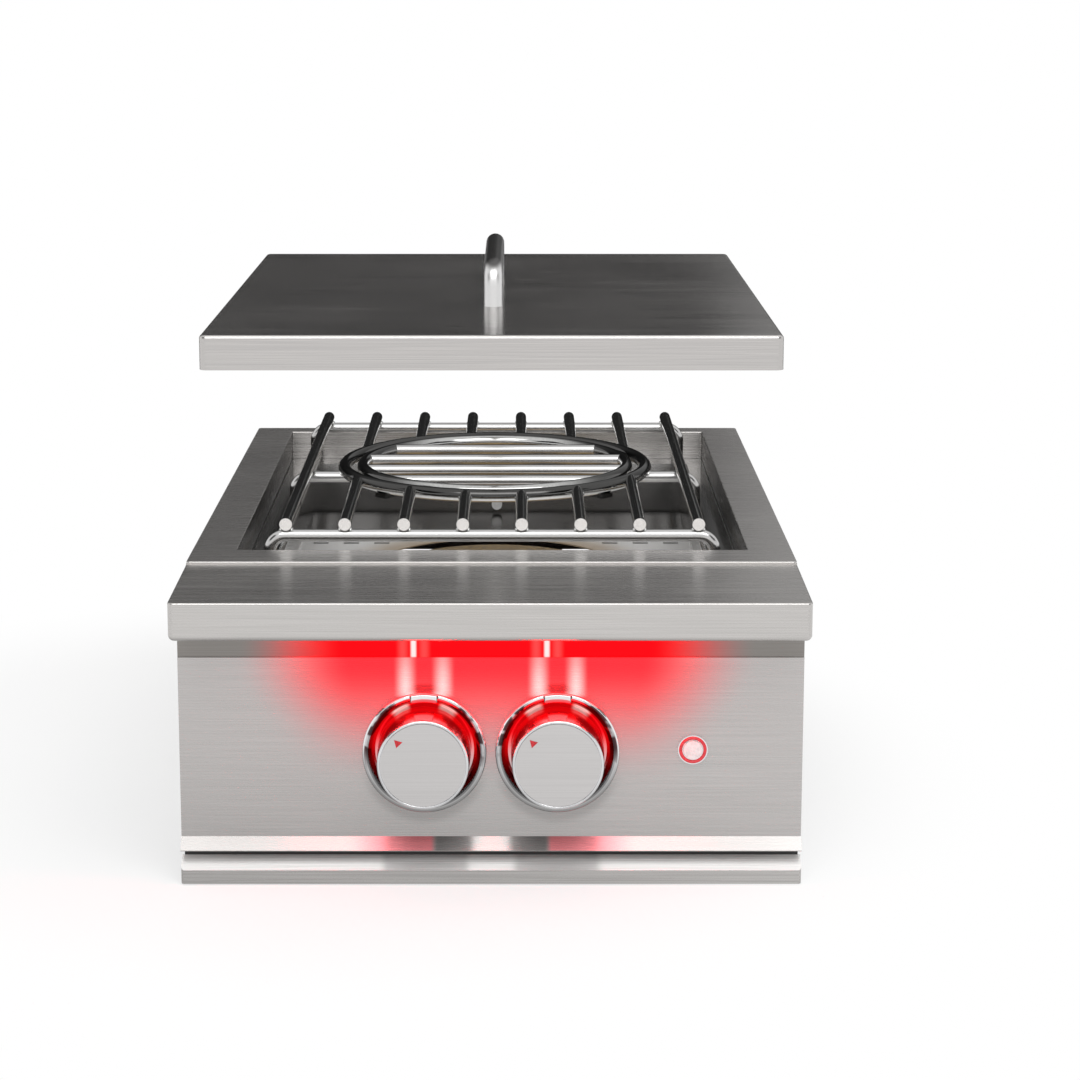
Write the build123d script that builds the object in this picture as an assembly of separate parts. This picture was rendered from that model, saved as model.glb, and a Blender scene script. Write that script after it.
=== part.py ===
# Built-in power burner for an outdoor kitchen, one STEP file for each piece.
# Millimetres, +Z up, front towards -Y. Origin: middle of the box's underside.
import os
from math import acos, sin, sqrt, tan
from build123d import *

# Whole body
WIDTH = 470.0
DEPTH = 692.0
TOP_Z = 235.0
SHEET = 1.2
CUT = 1.0

# Top frame
FRAME_T = 2.0
FRAME_SIDE = 35.0
FRAME_FRONT = 41.0
FRAME_REAR = 22.0
OPEN_R = 1.0
FRAME_CORNER_R = 3.0
FRAME_EDGE_R = 0.8
LEDGE_DROP = 28.0
LEDGE_REACH = 16.0

# Front bullnose
NOSE_DEPTH = 114.0
NOSE_OVERHANG = 51.5
NOSE_T = 1.5
NOSE_SLOPE = 2.4
NOSE_FACE = 29.0
NOSE_TUCK = 10.0
NOSE_SEAT = 0.4
NOSE_RETURN = 22.0
NOSE_RETURN_UP = 6.0
NOSE_R = 4.5
NOSE_EDGE_R = 1.2
NOSE_PANEL_GAP = 1.5

# Control panel and the strip above it
PANEL_DROP = 59.0
PANEL_LOW = 36.0
PANEL_LIP = 8.5
PANEL_RETURN = 15.0
FASCIA_LAP = 16.0
FASCIA_FLANGE = 18.0
STEM_HOLE_R = 6.0

# Housing
HOUSING_DROP = 3.0
NOTCH_GAP = 0.5
SIDE_FLANGE = 15.0
SIDE_FLANGE_BELOW = 6.0
SIDE_FLANGE_GAP = 2.0
FOOT_FLANGE = 12.0
FLOOR_SETBACK = 9.5
VENT_L = 96.0
VENT_H = 7.0
VENT_LOW = 110.0
VENT_RISE = 16.0
VENT_ROWS = 4
VENT_PITCH = 112.0
FLOOR_VENT_R = 9.0
FLOOR_VENT_X = 120.0
FLOOR_VENT_Y = 160.0
FIREWALL_GAP = 1.2
FIREWALL_HOLE_R = 18.0
FIREWALL_TAB = 20.0
FIREWALL_TAB_LOW = 40.0
FIREWALL_TAB_DROP = 8.0
REAR_FLANGE_GAP = 5.0
REAR_FLANGE_RISE = 4.0

# Burner pan
PAN_RIM_GAP = 1.0
WELL_SIDE = 16.0
WELL_FRONT_RIM = 33.0
WELL_BACK_RIM = 26.0
WELL_TAPER = 6.0
PAN_HOLE_GAP = 10.0
PAN_SLOTS = 3
PAN_SLOT_IN = 17.0
PAN_SLOT_PITCH = 28.0
PAN_SLOT_W = 14.0
PAN_SLOT_D = 7.0
PAN_SLOT_Y = 89.0
PAN_BOLT_R = 5.0

# Grate, ring and insert
ROD_R = 5.0
ROD_RISE = 16.5
OUTER_ROD_IN = 12.9
WELD_SINK = 0.2
RING_OFFSET = 3.5
CROSSBAR_IN = 18.5
LEG_IN = 24.0
LEG_BEND = 12.0
RAIL_PAST = 9.0
RING_R = 132.0
RING_ROD_R = 5.5
INSERT_IN = 16.5
INSERT_SEAT = 0.05
LUG_INNER = 9.5
LUG_OUTER = 4.0
LUG_W = 12.0
LUG_T = 4.0
STUB_LAP = 8.0

# Lid and handle
LID_OVER_SIDE = 24.0
LID_OVER_FRONT = 23.0
LID_OVER_BACK = 18.0
LID_H = 27.0
LID_T = 1.5
LID_CORNER_R = 6.0
LID_EDGE_R = 3.0
LID_RAISED = 146.0
HANDLE_R = 8.0
HANDLE_RISE = 31.0
HANDLE_BEND = 13.0
HANDLE_HALF = 106.0
HANDLE_SCREW_R = 3.0
HANDLE_SCREW_HEAD_R = 6.0
HANDLE_SCREW_HEAD_T = 2.4
HANDLE_SCREW_GRIP = 18.0

# Knobs, bezels and valves
KNOB_X = 50.0
KNOB_BELOW_MIDDLE = 1.0
BEZEL_R = 46.7
BEZEL_H = 12.0
BEZEL_PLATE = 2.0
BEZEL_RIM = 5.0
BEZEL_RIM_R = 2.4
DISH_R = 37.5
INDEX_HALF = 11.5
INDEX_PROUD = 1.0
INDEX_EDGE = 0.8
INDEX_DISH_GAP = 1.5
KNOB_R = 34.0
KNOB_EDGE_R = 1.2
KNOB_SKIRT_R = 35.2
KNOB_FRONT = 42.0
KNOB_SKIRT = 7.5
KNOB_WALL = 3.0
KNOB_DRAFT = 1.0
FACE_R = 31.6
FACE_T = 1.0
HUB_R = 9.0
HUB_SHORT = 4.0
HUB_END = 2.0
POINTER_X = -18.5
POINTER_Z = 17.0
POINTER_SIZE = 3.6
POINTER_T = 0.4
POINTER_TURN = 16.0
STEM_R = 4.0
STEM_TAIL_R = 3.0
TAIL_LAP = 6.0
COLLAR_R = 6.5
COLLAR_T = 2.0
RUN_FIT = 0.06
VALVE_SETBACK = 12.5
VALVE_L = 42.0
VALVE_HALF = 16.0
VALVE_BELOW = 19.0
VALVE_ABOVE = 17.0
BONNET_T = 6.0
VALVE_BORE_R = 7.0
VALVE_BORE_L = 30.0
PLUG_SETBACK = 12.0
PLUG_END_GAP = 0.5
PLUG_SOCKET = 12.0
SPRING_R = 4.6
SPRING_WIRE_R = 0.45
SPRING_TURNS = 4.0
NOZZLE_R = 8.0
NOZZLE_L = 10.0
ORIFICE_R = 5.0
ORIFICE_L = 9.0
ORIFICE_JET_R = 1.0
BONNET_SCREW_R = 2.0
BONNET_SCREW_IN = 5.0
BONNET_SCREW_L = 8.0

# Gas pipe
PIPE_R = 10.7
PIPE_BORE_R = 8.0
PIPE_SETBACK = 21.0
PIPE_DROP = 35.0
PIPE_PAST = 30.0
PIPE_SIDE = 32.0
PIPE_BEND = 26.0
PIPE_CAP_T = 3.0
BOSS_R = 9.0
BOSS_BORE_R = 5.0
INLET_R = 7.94
INLET_SHANK_R = 8.3
INLET_L = 12.8
INLET_HEX = 26.0
INLET_HEX_L = 21.0
LOCKNUT_T = 5.0
PANEL_HOLE_GAP = 0.5

# Burners
BURNER_GAP = 2.0
BASE_H = 20.0
CAP_H = 8.0
BURNER_WALL = 4.0
OUTER_IN_R = 66.0
OUTER_OUT_R = 98.0
INNER_OUT_R = 38.0
CAP_LAP = 2.0
PORT_W = 2.6
PORT_H = 3.0
OUTER_PORTS = 36
INNER_PORTS = 16
TUBE_R = 14.0
TUBE_BORE_R = 12.4
TUBE_FIT = 0.2
TUBE_GAP = 9.0
TUBE_RISE = 25.0
TUBE_COLLAR_R = 18.0
TUBE_COLLAR_T = 3.0
TUBE_COLLAR_GAP = 0.8
TUBE_BEND = 20.0
SHUTTER_R = 16.5
SHUTTER_LAP = 1.0
SHUTTER_GRIP = 8.0
SHUTTER_HOLE_R = 7.0
SHUTTER_WINDOW = 9.0
SUPPORT_GAP = 8.0
SUPPORT_W = 20.0
SUPPORT_T = 3.0
SUPPORT_TAB = 20.0

# Light bar, driver and switch
BAR_SIDE = 70.0
BAR_D = 14.0
BAR_H = 8.0
BOARD_T = 1.2
BOARD_IN = 2.0
CHIP = 5.0
CHIP_T = 1.6
CHIP_PITCH = 30.0
CHIP_END = 10.0
LENS_T = 1.2
DRIVER_SETBACK = 19.5
DRIVER_L = 70.0
DRIVER_H = 48.0
DRIVER_UP = 2.0
DRIVER_T = 26.0
BUTTON_SIDE = 83.0
BUTTON_FLANGE_R = 11.25
BUTTON_FLANGE_T = 3.0
BUTTON_R = 7.4
BUTTON_FIT = 0.1
BUTTON_PROUD = 1.8
BUTTON_LENGTH = 12.0
SWITCH_BARREL_R = 9.0
SWITCH_L = 30.5
SWITCH_BORE_L = 13.5
SWITCH_NUT_AF = 24.0
SWITCH_NUT_T = 4.0
GLOW_IN_R = 8.2
GLOW_OUT_R = 10.2
GLOW_T = 0.4

# Drip tray
TRAY_SIDE = 15.0
TRAY_BACK_GAP = 26.0
TRAY_T = 1.0
TRAY_PROUD = 8.0
TRAY_JOIN = 1.5
TRAY_TOP = 21.0
TRAY_LOW = 1.0
TRAY_CHAMFER = 9.3
TRAY_END_R = 2.4
RAIL_FOOT = 18.0
RAIL_WALL = 20.0
RAIL_END_GAP = 2.0

# Screws
SCREW_R = 2.0
SCREW_HOLE_R = 2.2
SCREW_HEAD_R = 3.8
SCREW_HEAD_T = 1.8
SCREW_GRIP = 6.0
FRAME_SCREWS = 3
FRAME_SCREW_END = 41.0
FRAME_SCREW_DROP = 15.0
REAR_SCREWS = 3
REAR_SCREW_IN = 6.0
REAR_SCREW_END = 30.0
STUD_R = 2.0
STUD_HOLE_R = 2.3
STUD_OUT = 7.8
STUD_ABOVE = 9.0
STUD_BELOW = 31.0
STUD_LENGTH = 8.0
NUT_AF = 7.0
NUT_T = 3.2


def spread(first, last, count):
    return [first + (last - first) * i / (count - 1) for i in range(count)]


# Places that follow from the sizes above, from the front to the back
HALF = WIDTH / 2
FRONT_Y = -DEPTH / 2
BACK_Y = DEPTH / 2
SEAM_Y = FRONT_Y + NOSE_DEPTH
NOSE_END = SEAM_Y + NOSE_TUCK
PANEL_Y = FRONT_Y + NOSE_OVERHANG
PANEL_BACK = PANEL_Y + SHEET
FASCIA_BACK = PANEL_BACK + SHEET
NOSE_CAP_BACK = PANEL_Y - NOSE_PANEL_GAP
FLOOR_FRONT = PANEL_Y + FLOOR_SETBACK
OPEN_FRONT = SEAM_Y + FRAME_FRONT
OPEN_BACK = BACK_Y - FRAME_REAR
OPEN_MIDDLE = (OPEN_FRONT + OPEN_BACK) / 2
FLANGE_FRONT = OPEN_FRONT - FRAME_T
FLANGE_BACK = OPEN_BACK + FRAME_T
REAR_OUT = FLANGE_BACK + SHEET
WELL_FRONT = OPEN_FRONT + WELL_FRONT_RIM
WELL_BACK = OPEN_BACK - WELL_BACK_RIM
RING_Y = OPEN_MIDDLE + RING_OFFSET
CROSSBAR_REACH = (OPEN_BACK - OPEN_FRONT) / 2 - CROSSBAR_IN
RAIL_REACH = CROSSBAR_REACH + RAIL_PAST
LID_FRONT = OPEN_FRONT - LID_OVER_FRONT
LID_BACK = OPEN_BACK + LID_OVER_BACK
LID_MIDDLE = (LID_FRONT + LID_BACK) / 2
HANDLE_LEGS = (LID_MIDDLE - HANDLE_HALF, LID_MIDDLE + HANDLE_HALF)
FRAME_SCREW_Y = spread(OPEN_FRONT + FRAME_SCREW_END, OPEN_BACK - FRAME_SCREW_END, FRAME_SCREWS)
VALVE_FRONT = PANEL_Y + VALVE_SETBACK
VALVE_BACK = VALVE_FRONT + VALVE_L
VALVE_BORE_END = VALVE_FRONT + VALVE_BORE_L
PLUG_FRONT = VALVE_FRONT + PLUG_SETBACK
TAIL_END = PLUG_FRONT + TAIL_LAP
NOZZLE_END = VALVE_BACK + NOZZLE_L
ORIFICE_END = NOZZLE_END + ORIFICE_L
TUBE_FRONT = ORIFICE_END + TUBE_GAP
SHUTTER_FRONT = ORIFICE_END - SHUTTER_LAP
SHUTTER_BACK = TUBE_FRONT + SHUTTER_GRIP
PIPE_Y = VALVE_FRONT + PIPE_SETBACK
PIPE_END = FLANGE_BACK - INLET_HEX_L
INLET_END = REAR_OUT + LOCKNUT_T + INLET_L
DRIVER_FRONT = PANEL_Y + DRIVER_SETBACK
SWITCH_BACK = PANEL_Y + SWITCH_L
SWITCH_BORE_END = PANEL_Y + SWITCH_BORE_L
TRAY_FRONT_Y = PANEL_Y - TRAY_PROUD
TRAY_JOIN_Y = PANEL_Y + TRAY_JOIN
TRAY_BACK = FLANGE_BACK - TRAY_BACK_GAP

# From the middle to the sides
OPEN_HALF = HALF - FRAME_SIDE
SIDE_IN = OPEN_HALF + FRAME_T
SIDE_OUT = SIDE_IN + SHEET
WELL_HALF = OPEN_HALF - WELL_SIDE
LEG_X = OPEN_HALF - LEG_IN
ROD_PITCH = 2 * (LEG_X - OUTER_ROD_IN) / 7
INSERT_R = RING_R - INSERT_IN
LUG_IN_R = INSERT_R - LUG_INNER
LUG_OUT_R = RING_R + LUG_OUTER
STUB_END = RING_R - STUB_LAP
LID_HALF = OPEN_HALF + LID_OVER_SIDE
PAN_SLOT_OUT = WELL_HALF - WELL_TAPER - PAN_SLOT_IN
PAN_HOLE_R = OUTER_OUT_R + PAN_HOLE_GAP
BURNER_MID_R = (OUTER_IN_R + OUTER_OUT_R) / 2
SUPPORT_OFFSET = TUBE_COLLAR_R + SUPPORT_GAP + SUPPORT_W / 2
PIPE_LEFT = -KNOB_X - PIPE_PAST
PIPE_RIGHT = SIDE_IN - PIPE_SIDE
BAR_HALF = HALF - BAR_SIDE
BUTTON_X = HALF - BUTTON_SIDE
TRAY_HALF = SIDE_IN - TRAY_SIDE
REAR_SCREW_X = SIDE_IN - REAR_SCREW_IN
STUD_X = SIDE_OUT + STUD_OUT

# From the bottom to the top
TRAY_Z = 4 * SHEET
FIREWALL_LOW = TRAY_Z + RAIL_WALL + FIREWALL_GAP
REAR_FLANGE_LOW = TRAY_TOP + REAR_FLANGE_RISE
SIDE_FLANGE_LOW = PANEL_LOW - SIDE_FLANGE_BELOW
PANEL_TOP = TOP_Z - PANEL_DROP
FASCIA_LOW = PANEL_TOP - FASCIA_LAP
SIDE_FLANGE_TOP = FASCIA_LOW - SIDE_FLANGE_GAP
STUD_Z = (PANEL_LOW + STUD_ABOVE, PANEL_TOP - STUD_BELOW)
KNOB_Z = (PANEL_LOW + PANEL_TOP) / 2 - KNOB_BELOW_MIDDLE
VALVE_LOW = KNOB_Z - VALVE_BELOW
VALVE_TOP = KNOB_Z + VALVE_ABOVE
PIPE_Z = KNOB_Z - PIPE_DROP
DRIVER_TOP = PANEL_TOP + DRIVER_UP
BURNER_Z = KNOB_Z + TUBE_RISE
CAP_Z = BURNER_Z + BASE_H
PAN_FLOOR_Z = CAP_Z + CAP_H + BURNER_GAP
LEDGE_TOP = TOP_Z - LEDGE_DROP
REAR_FLANGE_TOP = LEDGE_TOP - FRAME_T - REAR_FLANGE_GAP
REAR_SCREW_Z = spread(REAR_SCREW_END, REAR_FLANGE_TOP - REAR_SCREW_END, REAR_SCREWS)
RIM_TOP = LEDGE_TOP + SHEET
RAIL_Z = RIM_TOP + ROD_R
FRAME_SCREW_Z = TOP_Z - FRAME_SCREW_DROP
FRAME_LOW = TOP_Z - FRAME_T
HOUSING_TOP = FRAME_LOW - HOUSING_DROP
NOSE_TOP_FRONT = FRAME_LOW - NOSE_SLOPE
NOSE_LOW = NOSE_TOP_FRONT - NOSE_FACE
ROD_Z = TOP_Z + ROD_RISE
CROSSBAR_Z = ROD_Z - 2 * ROD_R + WELD_SINK
STUB_Z = ROD_Z - RING_ROD_R - ROD_R + WELD_SINK
LUG_TOP = ROD_Z - RING_ROD_R + WELD_SINK
INSERT_Z = LUG_TOP + INSERT_SEAT + RING_ROD_R
LID_LOW = TOP_Z + LID_RAISED
LID_TOP = LID_LOW + LID_H
SIDES = (("left", -1), ("right", 1))


def block(x0, x1, y0, y1, z0, z1):
    solid = Box(abs(x1 - x0), abs(y1 - y0), abs(z1 - z0))
    return Pos((x0 + x1) / 2, (y0 + y1) / 2, (z0 + z1) / 2) * solid


def rod_x(y, z, x0, x1, r):
    return Pos((x0 + x1) / 2, y, z) * Rot(0, 90, 0) * Cylinder(r, abs(x1 - x0))


def rod_y(x, z, y0, y1, r):
    return Pos(x, (y0 + y1) / 2, z) * Rot(90, 0, 0) * Cylinder(r, abs(y1 - y0))


def rod_z(x, y, z0, z1, r):
    return Pos(x, y, (z0 + z1) / 2) * Cylinder(r, abs(z1 - z0))


def hex_y(x, z, y0, y1, across_flats):
    outline = Plane((x, y0, z), z_dir=(0, 1, 0)) * RegularPolygon(across_flats / sqrt(3), 6)
    return extrude(outline, amount=y1 - y0)


def prism_x(points, x0, x1):
    outline = make_face(Polyline(*[(x0, y, z) for y, z in points], close=True))
    return extrude(outline, amount=x1 - x0, dir=(1, 0, 0))


def section_y(points):
    return make_face(Polyline(*[(r, y, 0) for r, y in points], close=True))


def turned_z(points, x, y):
    outline = make_face(Polyline(*[(r, 0, z) for r, z in points], close=True))
    return Pos(x, y, 0) * revolve(outline, Axis.Z, 360)


def bent_path(points, bend):
    corners = [Vector(*p) for p in points]
    edges = []
    start = corners[0]
    for before, corner, after in zip(corners, corners[1:], corners[2:]):
        back = (before - corner).normalized()
        ahead = (after - corner).normalized()
        half = acos(back.dot(ahead)) / 2
        reach = bend / tan(half)
        middle = corner + (back + ahead).normalized() * (bend / sin(half) - bend)
        edges.append(Line(start, corner + back * reach))
        edges.append(ThreePointArc(corner + back * reach, middle, corner + ahead * reach))
        start = corner + ahead * reach
    edges.append(Line(start, corners[-1]))
    return Wire(edges)


def bent_rod(points, bend, r):
    path = bent_path(points, bend)
    return sweep(Plane(path @ 0, z_dir=path % 0) * Circle(r), path=path)


def well(half_x, y0, y1, z_top, z_low):
    middle = (y0 + y1) / 2
    top = Pos(0, middle, z_top) * Rectangle(2 * half_x, y1 - y0)
    low = Pos(0, middle, z_low) * Rectangle(2 * (half_x - WELL_TAPER), y1 - y0 - 2 * WELL_TAPER)
    return loft([low, top])


def save(name, *pieces):
    solids = [s for p in pieces for s in p.solids()]
    shape = solids[0] if len(solids) == 1 else Compound(solids)
    export_step(shape, f"parts/{name}.step")


os.makedirs("parts", exist_ok=True)

# Top frame: plate, flange turned down into the opening and a seat for the bullnose
frame = block(-HALF, HALF, SEAM_Y, BACK_Y, FRAME_LOW, TOP_Z)
frame = fillet(frame.edges().filter_by(Axis.Z), FRAME_CORNER_R)
frame += block(-SIDE_IN, SIDE_IN, FLANGE_FRONT, FLANGE_BACK, LEDGE_TOP, TOP_Z)
opening = block(-OPEN_HALF, OPEN_HALF, OPEN_FRONT, OPEN_BACK, LEDGE_TOP - CUT, TOP_Z + CUT)
opening = fillet(opening.edges().filter_by(Axis.Z), OPEN_R)
frame -= opening
frame = fillet(frame.faces().sort_by(Axis.Z)[-1].edges(), FRAME_EDGE_R)
frame -= block(-HALF, HALF, SEAM_Y - CUT, NOSE_END, FRAME_LOW - CUT, FRAME_LOW + NOSE_SEAT)
for y in FRAME_SCREW_Y:
    frame -= rod_x(y, FRAME_SCREW_Z, -SIDE_IN - CUT, -OPEN_HALF + CUT, SCREW_HOLE_R)
    frame -= rod_x(y, FRAME_SCREW_Z, OPEN_HALF - CUT, SIDE_IN + CUT, SCREW_HOLE_R)
save("top_frame", frame)

# Ledge for the pan, welded under the frame's flange
ledge = block(-SIDE_IN, SIDE_IN, FLANGE_FRONT, FLANGE_BACK, LEDGE_TOP - FRAME_T, LEDGE_TOP)
ledge_hole = block(
    -SIDE_IN + LEDGE_REACH, SIDE_IN - LEDGE_REACH,
    FLANGE_FRONT + LEDGE_REACH, FLANGE_BACK - LEDGE_REACH, 0, TOP_Z,
)
save("pan_ledge", ledge - ledge_hole)


def nose_top(y):
    return FRAME_LOW - NOSE_SLOPE * (SEAM_Y - y) / (SEAM_Y - FRONT_Y)


# Front bullnose: folded cap with welded ends, tucked under the frame, open below for the light bar
nose = prism_x(
    [
        (NOSE_END, FRAME_LOW + NOSE_SEAT), (SEAM_Y, FRAME_LOW + NOSE_SEAT), (SEAM_Y, FRAME_LOW),
        (FRONT_Y, NOSE_TOP_FRONT), (FRONT_Y, NOSE_LOW), (NOSE_CAP_BACK, NOSE_LOW),
        (NOSE_CAP_BACK, nose_top(NOSE_CAP_BACK) - NOSE_T), (SEAM_Y, FRAME_LOW - NOSE_T),
        (NOSE_END, FRAME_LOW - NOSE_T),
    ],
    -HALF, HALF,
)
front_face = nose.faces().sort_by(Axis.Y)[0]
low_face = nose.faces().filter_by(Plane.XY).sort_by(Axis.Z)[0]
nose_edges = front_face.edges().sort_by(Axis.Z)[:-1] + low_face.edges().filter_by(Axis.Y)
nose = fillet(nose_edges, NOSE_R)
nose = fillet(nose.faces().sort_by(Axis.Y)[0].edges().sort_by(Axis.Z)[-1:], NOSE_EDGE_R)
nose_inside = FRONT_Y + NOSE_T
nose_open = NOSE_CAP_BACK + CUT
nose -= prism_x(
    [
        (nose_inside, NOSE_LOW + NOSE_T), (nose_inside, nose_top(nose_inside) - NOSE_T),
        (nose_open, nose_top(nose_open) - NOSE_T), (nose_open, NOSE_LOW + NOSE_T),
    ],
    -HALF + NOSE_R, HALF - NOSE_R,
)
return_y = FRONT_Y + NOSE_RETURN
nose -= block(
    -HALF + NOSE_R, HALF - NOSE_R, return_y, nose_open, NOSE_LOW - CUT, NOSE_LOW + NOSE_T + CUT,
)
nose += block(
    -HALF + NOSE_R, HALF - NOSE_R, return_y - NOSE_T, return_y,
    NOSE_LOW + NOSE_T / 2, NOSE_LOW + NOSE_RETURN_UP,
)
save("front_bullnose", nose)

# Control panel: folded sheet with a slanted lip below and a return at each side
lip_y = PANEL_Y - PANEL_LIP
lip_z = PANEL_LOW - PANEL_LIP
lip_edge = SHEET / sqrt(2)
panel = prism_x(
    [
        (PANEL_Y, PANEL_TOP), (PANEL_Y, PANEL_LOW), (lip_y, lip_z), (lip_y + lip_edge, lip_z - lip_edge),
        (PANEL_BACK, PANEL_LOW - 2 * lip_edge + SHEET), (PANEL_BACK, PANEL_TOP),
    ],
    -HALF, HALF,
)
for _, s in SIDES:
    panel += block(
        s * HALF, s * (HALF - SHEET), PANEL_Y, PANEL_BACK + PANEL_RETURN, PANEL_LOW, PANEL_TOP,
    )
    panel -= rod_y(s * KNOB_X, KNOB_Z, PANEL_Y - CUT, PANEL_BACK + CUT, STEM_HOLE_R)
panel -= rod_y(BUTTON_X, KNOB_Z, PANEL_Y - CUT, PANEL_BACK + CUT, SWITCH_BARREL_R + BUTTON_FIT)
save("control_panel", panel)

# Strip between the panel and the bullnose, as wide as the panel where it shows, with a return at each side
fascia_end = PANEL_BACK + FASCIA_FLANGE
fascia_top = nose_top(PANEL_BACK) - NOSE_T
fascia = prism_x(
    [
        (PANEL_BACK, FASCIA_LOW), (PANEL_BACK, fascia_top),
        (fascia_end, nose_top(fascia_end) - NOSE_T), (fascia_end, nose_top(fascia_end) - NOSE_T - SHEET),
        (FASCIA_BACK, nose_top(FASCIA_BACK) - NOSE_T - SHEET), (FASCIA_BACK, FASCIA_LOW),
    ],
    -HALF + NOSE_R, HALF - NOSE_R,
)
for _, s in SIDES:
    fascia += block(s * HALF, s * (HALF - NOSE_R - CUT), PANEL_BACK, FASCIA_BACK, PANEL_TOP, fascia_top)
    fascia += block(
        s * HALF, s * (HALF - SHEET), PANEL_BACK, PANEL_BACK + PANEL_RETURN, PANEL_TOP, fascia_top,
    )
save("upper_fascia", fascia)

# Housing sides, each with a front flange, a foot flange and a rear flange
notch_y = NOSE_END + CUT
notch_z = nose_top(FASCIA_BACK) - NOSE_T - SHEET - NOTCH_GAP
for name, s in SIDES:
    side = prism_x(
        [
            (FASCIA_BACK, 0), (FLANGE_BACK, 0), (FLANGE_BACK, HOUSING_TOP), (notch_y, HOUSING_TOP),
            (notch_y, notch_z), (FASCIA_BACK, notch_z),
        ],
        min(s * SIDE_IN, s * SIDE_OUT), max(s * SIDE_IN, s * SIDE_OUT),
    )
    side += block(
        s * SIDE_IN, s * (SIDE_OUT + SIDE_FLANGE), PANEL_BACK, FASCIA_BACK, SIDE_FLANGE_LOW, SIDE_FLANGE_TOP,
    )
    foot_in = s * (SIDE_IN - FOOT_FLANGE)
    side += block(foot_in, s * SIDE_OUT, FLOOR_FRONT, FLANGE_BACK, 0, SHEET)
    side += block(foot_in, s * SIDE_OUT, FLANGE_BACK - SHEET, FLANGE_BACK, REAR_FLANGE_LOW, REAR_FLANGE_TOP)
    for y in FRAME_SCREW_Y:
        side -= rod_x(y, FRAME_SCREW_Z, s * (SIDE_IN - CUT), s * (SIDE_OUT + CUT), SCREW_HOLE_R)
    for z in REAR_SCREW_Z:
        side -= rod_y(s * REAR_SCREW_X, z, FLANGE_BACK - SHEET - CUT, FLANGE_BACK + CUT, SCREW_HOLE_R)
    for z in STUD_Z:
        side -= rod_y(s * STUD_X, z, PANEL_BACK - CUT, FASCIA_BACK + CUT, STUD_HOLE_R)
    save(f"{name}_side", side)

# Rear wall with vents and the gas inlet hole
rear = block(-SIDE_OUT, SIDE_OUT, FLANGE_BACK, REAR_OUT, 0, HOUSING_TOP)
for row in range(VENT_ROWS):
    z = VENT_LOW + row * VENT_RISE
    for x in (-VENT_PITCH, 0, VENT_PITCH):
        rear -= block(x - VENT_L / 2, x + VENT_L / 2, FLANGE_BACK - CUT, REAR_OUT + CUT, z, z + VENT_H)
rear -= rod_y(PIPE_RIGHT, PIPE_Z, FLANGE_BACK - CUT, REAR_OUT + CUT, INLET_SHANK_R + PANEL_HOLE_GAP)
for _, s in SIDES:
    for z in REAR_SCREW_Z:
        rear -= rod_y(s * REAR_SCREW_X, z, FLANGE_BACK - CUT, REAR_OUT + CUT, SCREW_HOLE_R)
save("rear_wall", rear)

# Floor of the housing, laid on the foot flanges
floor = block(-SIDE_IN, SIDE_IN, FLOOR_FRONT, FLANGE_BACK, SHEET, 2 * SHEET)
for x in (-FLOOR_VENT_X, 0, FLOOR_VENT_X):
    for y in (-FLOOR_VENT_Y, 0, FLOOR_VENT_Y):
        floor -= rod_z(x, y, SHEET - CUT, 2 * SHEET + CUT, FLOOR_VENT_R)
save("housing_floor", floor)

# Firewall between the valves and the burners
firewall_front = FLANGE_FRONT - SHEET
firewall = block(-SIDE_IN, SIDE_IN, firewall_front, FLANGE_FRONT, FIREWALL_LOW, HOUSING_TOP)
for _, s in SIDES:
    firewall += block(
        s * SIDE_IN, s * (SIDE_IN - SHEET), firewall_front, FLANGE_FRONT + FIREWALL_TAB,
        FIREWALL_TAB_LOW, LEDGE_TOP - FIREWALL_TAB_DROP,
    )
    firewall -= rod_y(s * KNOB_X, KNOB_Z, firewall_front - CUT, FLANGE_FRONT + CUT, FIREWALL_HOLE_R)
firewall -= rod_y(PIPE_RIGHT, PIPE_Z, firewall_front - CUT, FLANGE_FRONT + CUT, PIPE_R + PANEL_HOLE_GAP)
save("firewall", firewall)

# Burner pan: rim on the frame's ledge, deep well, round hole over the burners, drip slots
rim_half = OPEN_HALF - PAN_RIM_GAP
pan = block(-rim_half, rim_half, OPEN_FRONT + PAN_RIM_GAP, OPEN_BACK - PAN_RIM_GAP, LEDGE_TOP, RIM_TOP)
pan = fillet(pan.edges().filter_by(Axis.Z), OPEN_R)
pan += well(WELL_HALF + SHEET, WELL_FRONT - SHEET, WELL_BACK + SHEET, LEDGE_TOP, PAN_FLOOR_Z)
pan -= well(WELL_HALF, WELL_FRONT, WELL_BACK, RIM_TOP, PAN_FLOOR_Z + SHEET)
pan_cut = (PAN_FLOOR_Z - CUT, PAN_FLOOR_Z + SHEET + CUT)
pan -= rod_z(0, RING_Y, *pan_cut, PAN_HOLE_R)
for _, s in SIDES:
    for i in range(PAN_SLOTS):
        slot_x = s * (PAN_SLOT_OUT - i * PAN_SLOT_PITCH)
        for slot_y in (RING_Y - PAN_SLOT_Y, RING_Y + PAN_SLOT_Y):
            slot = Box(PAN_SLOT_W, PAN_SLOT_D, pan_cut[1] - pan_cut[0])
            pan -= Pos(slot_x, slot_y, sum(pan_cut) / 2) * slot
save("burner_pan", pan)

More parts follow.
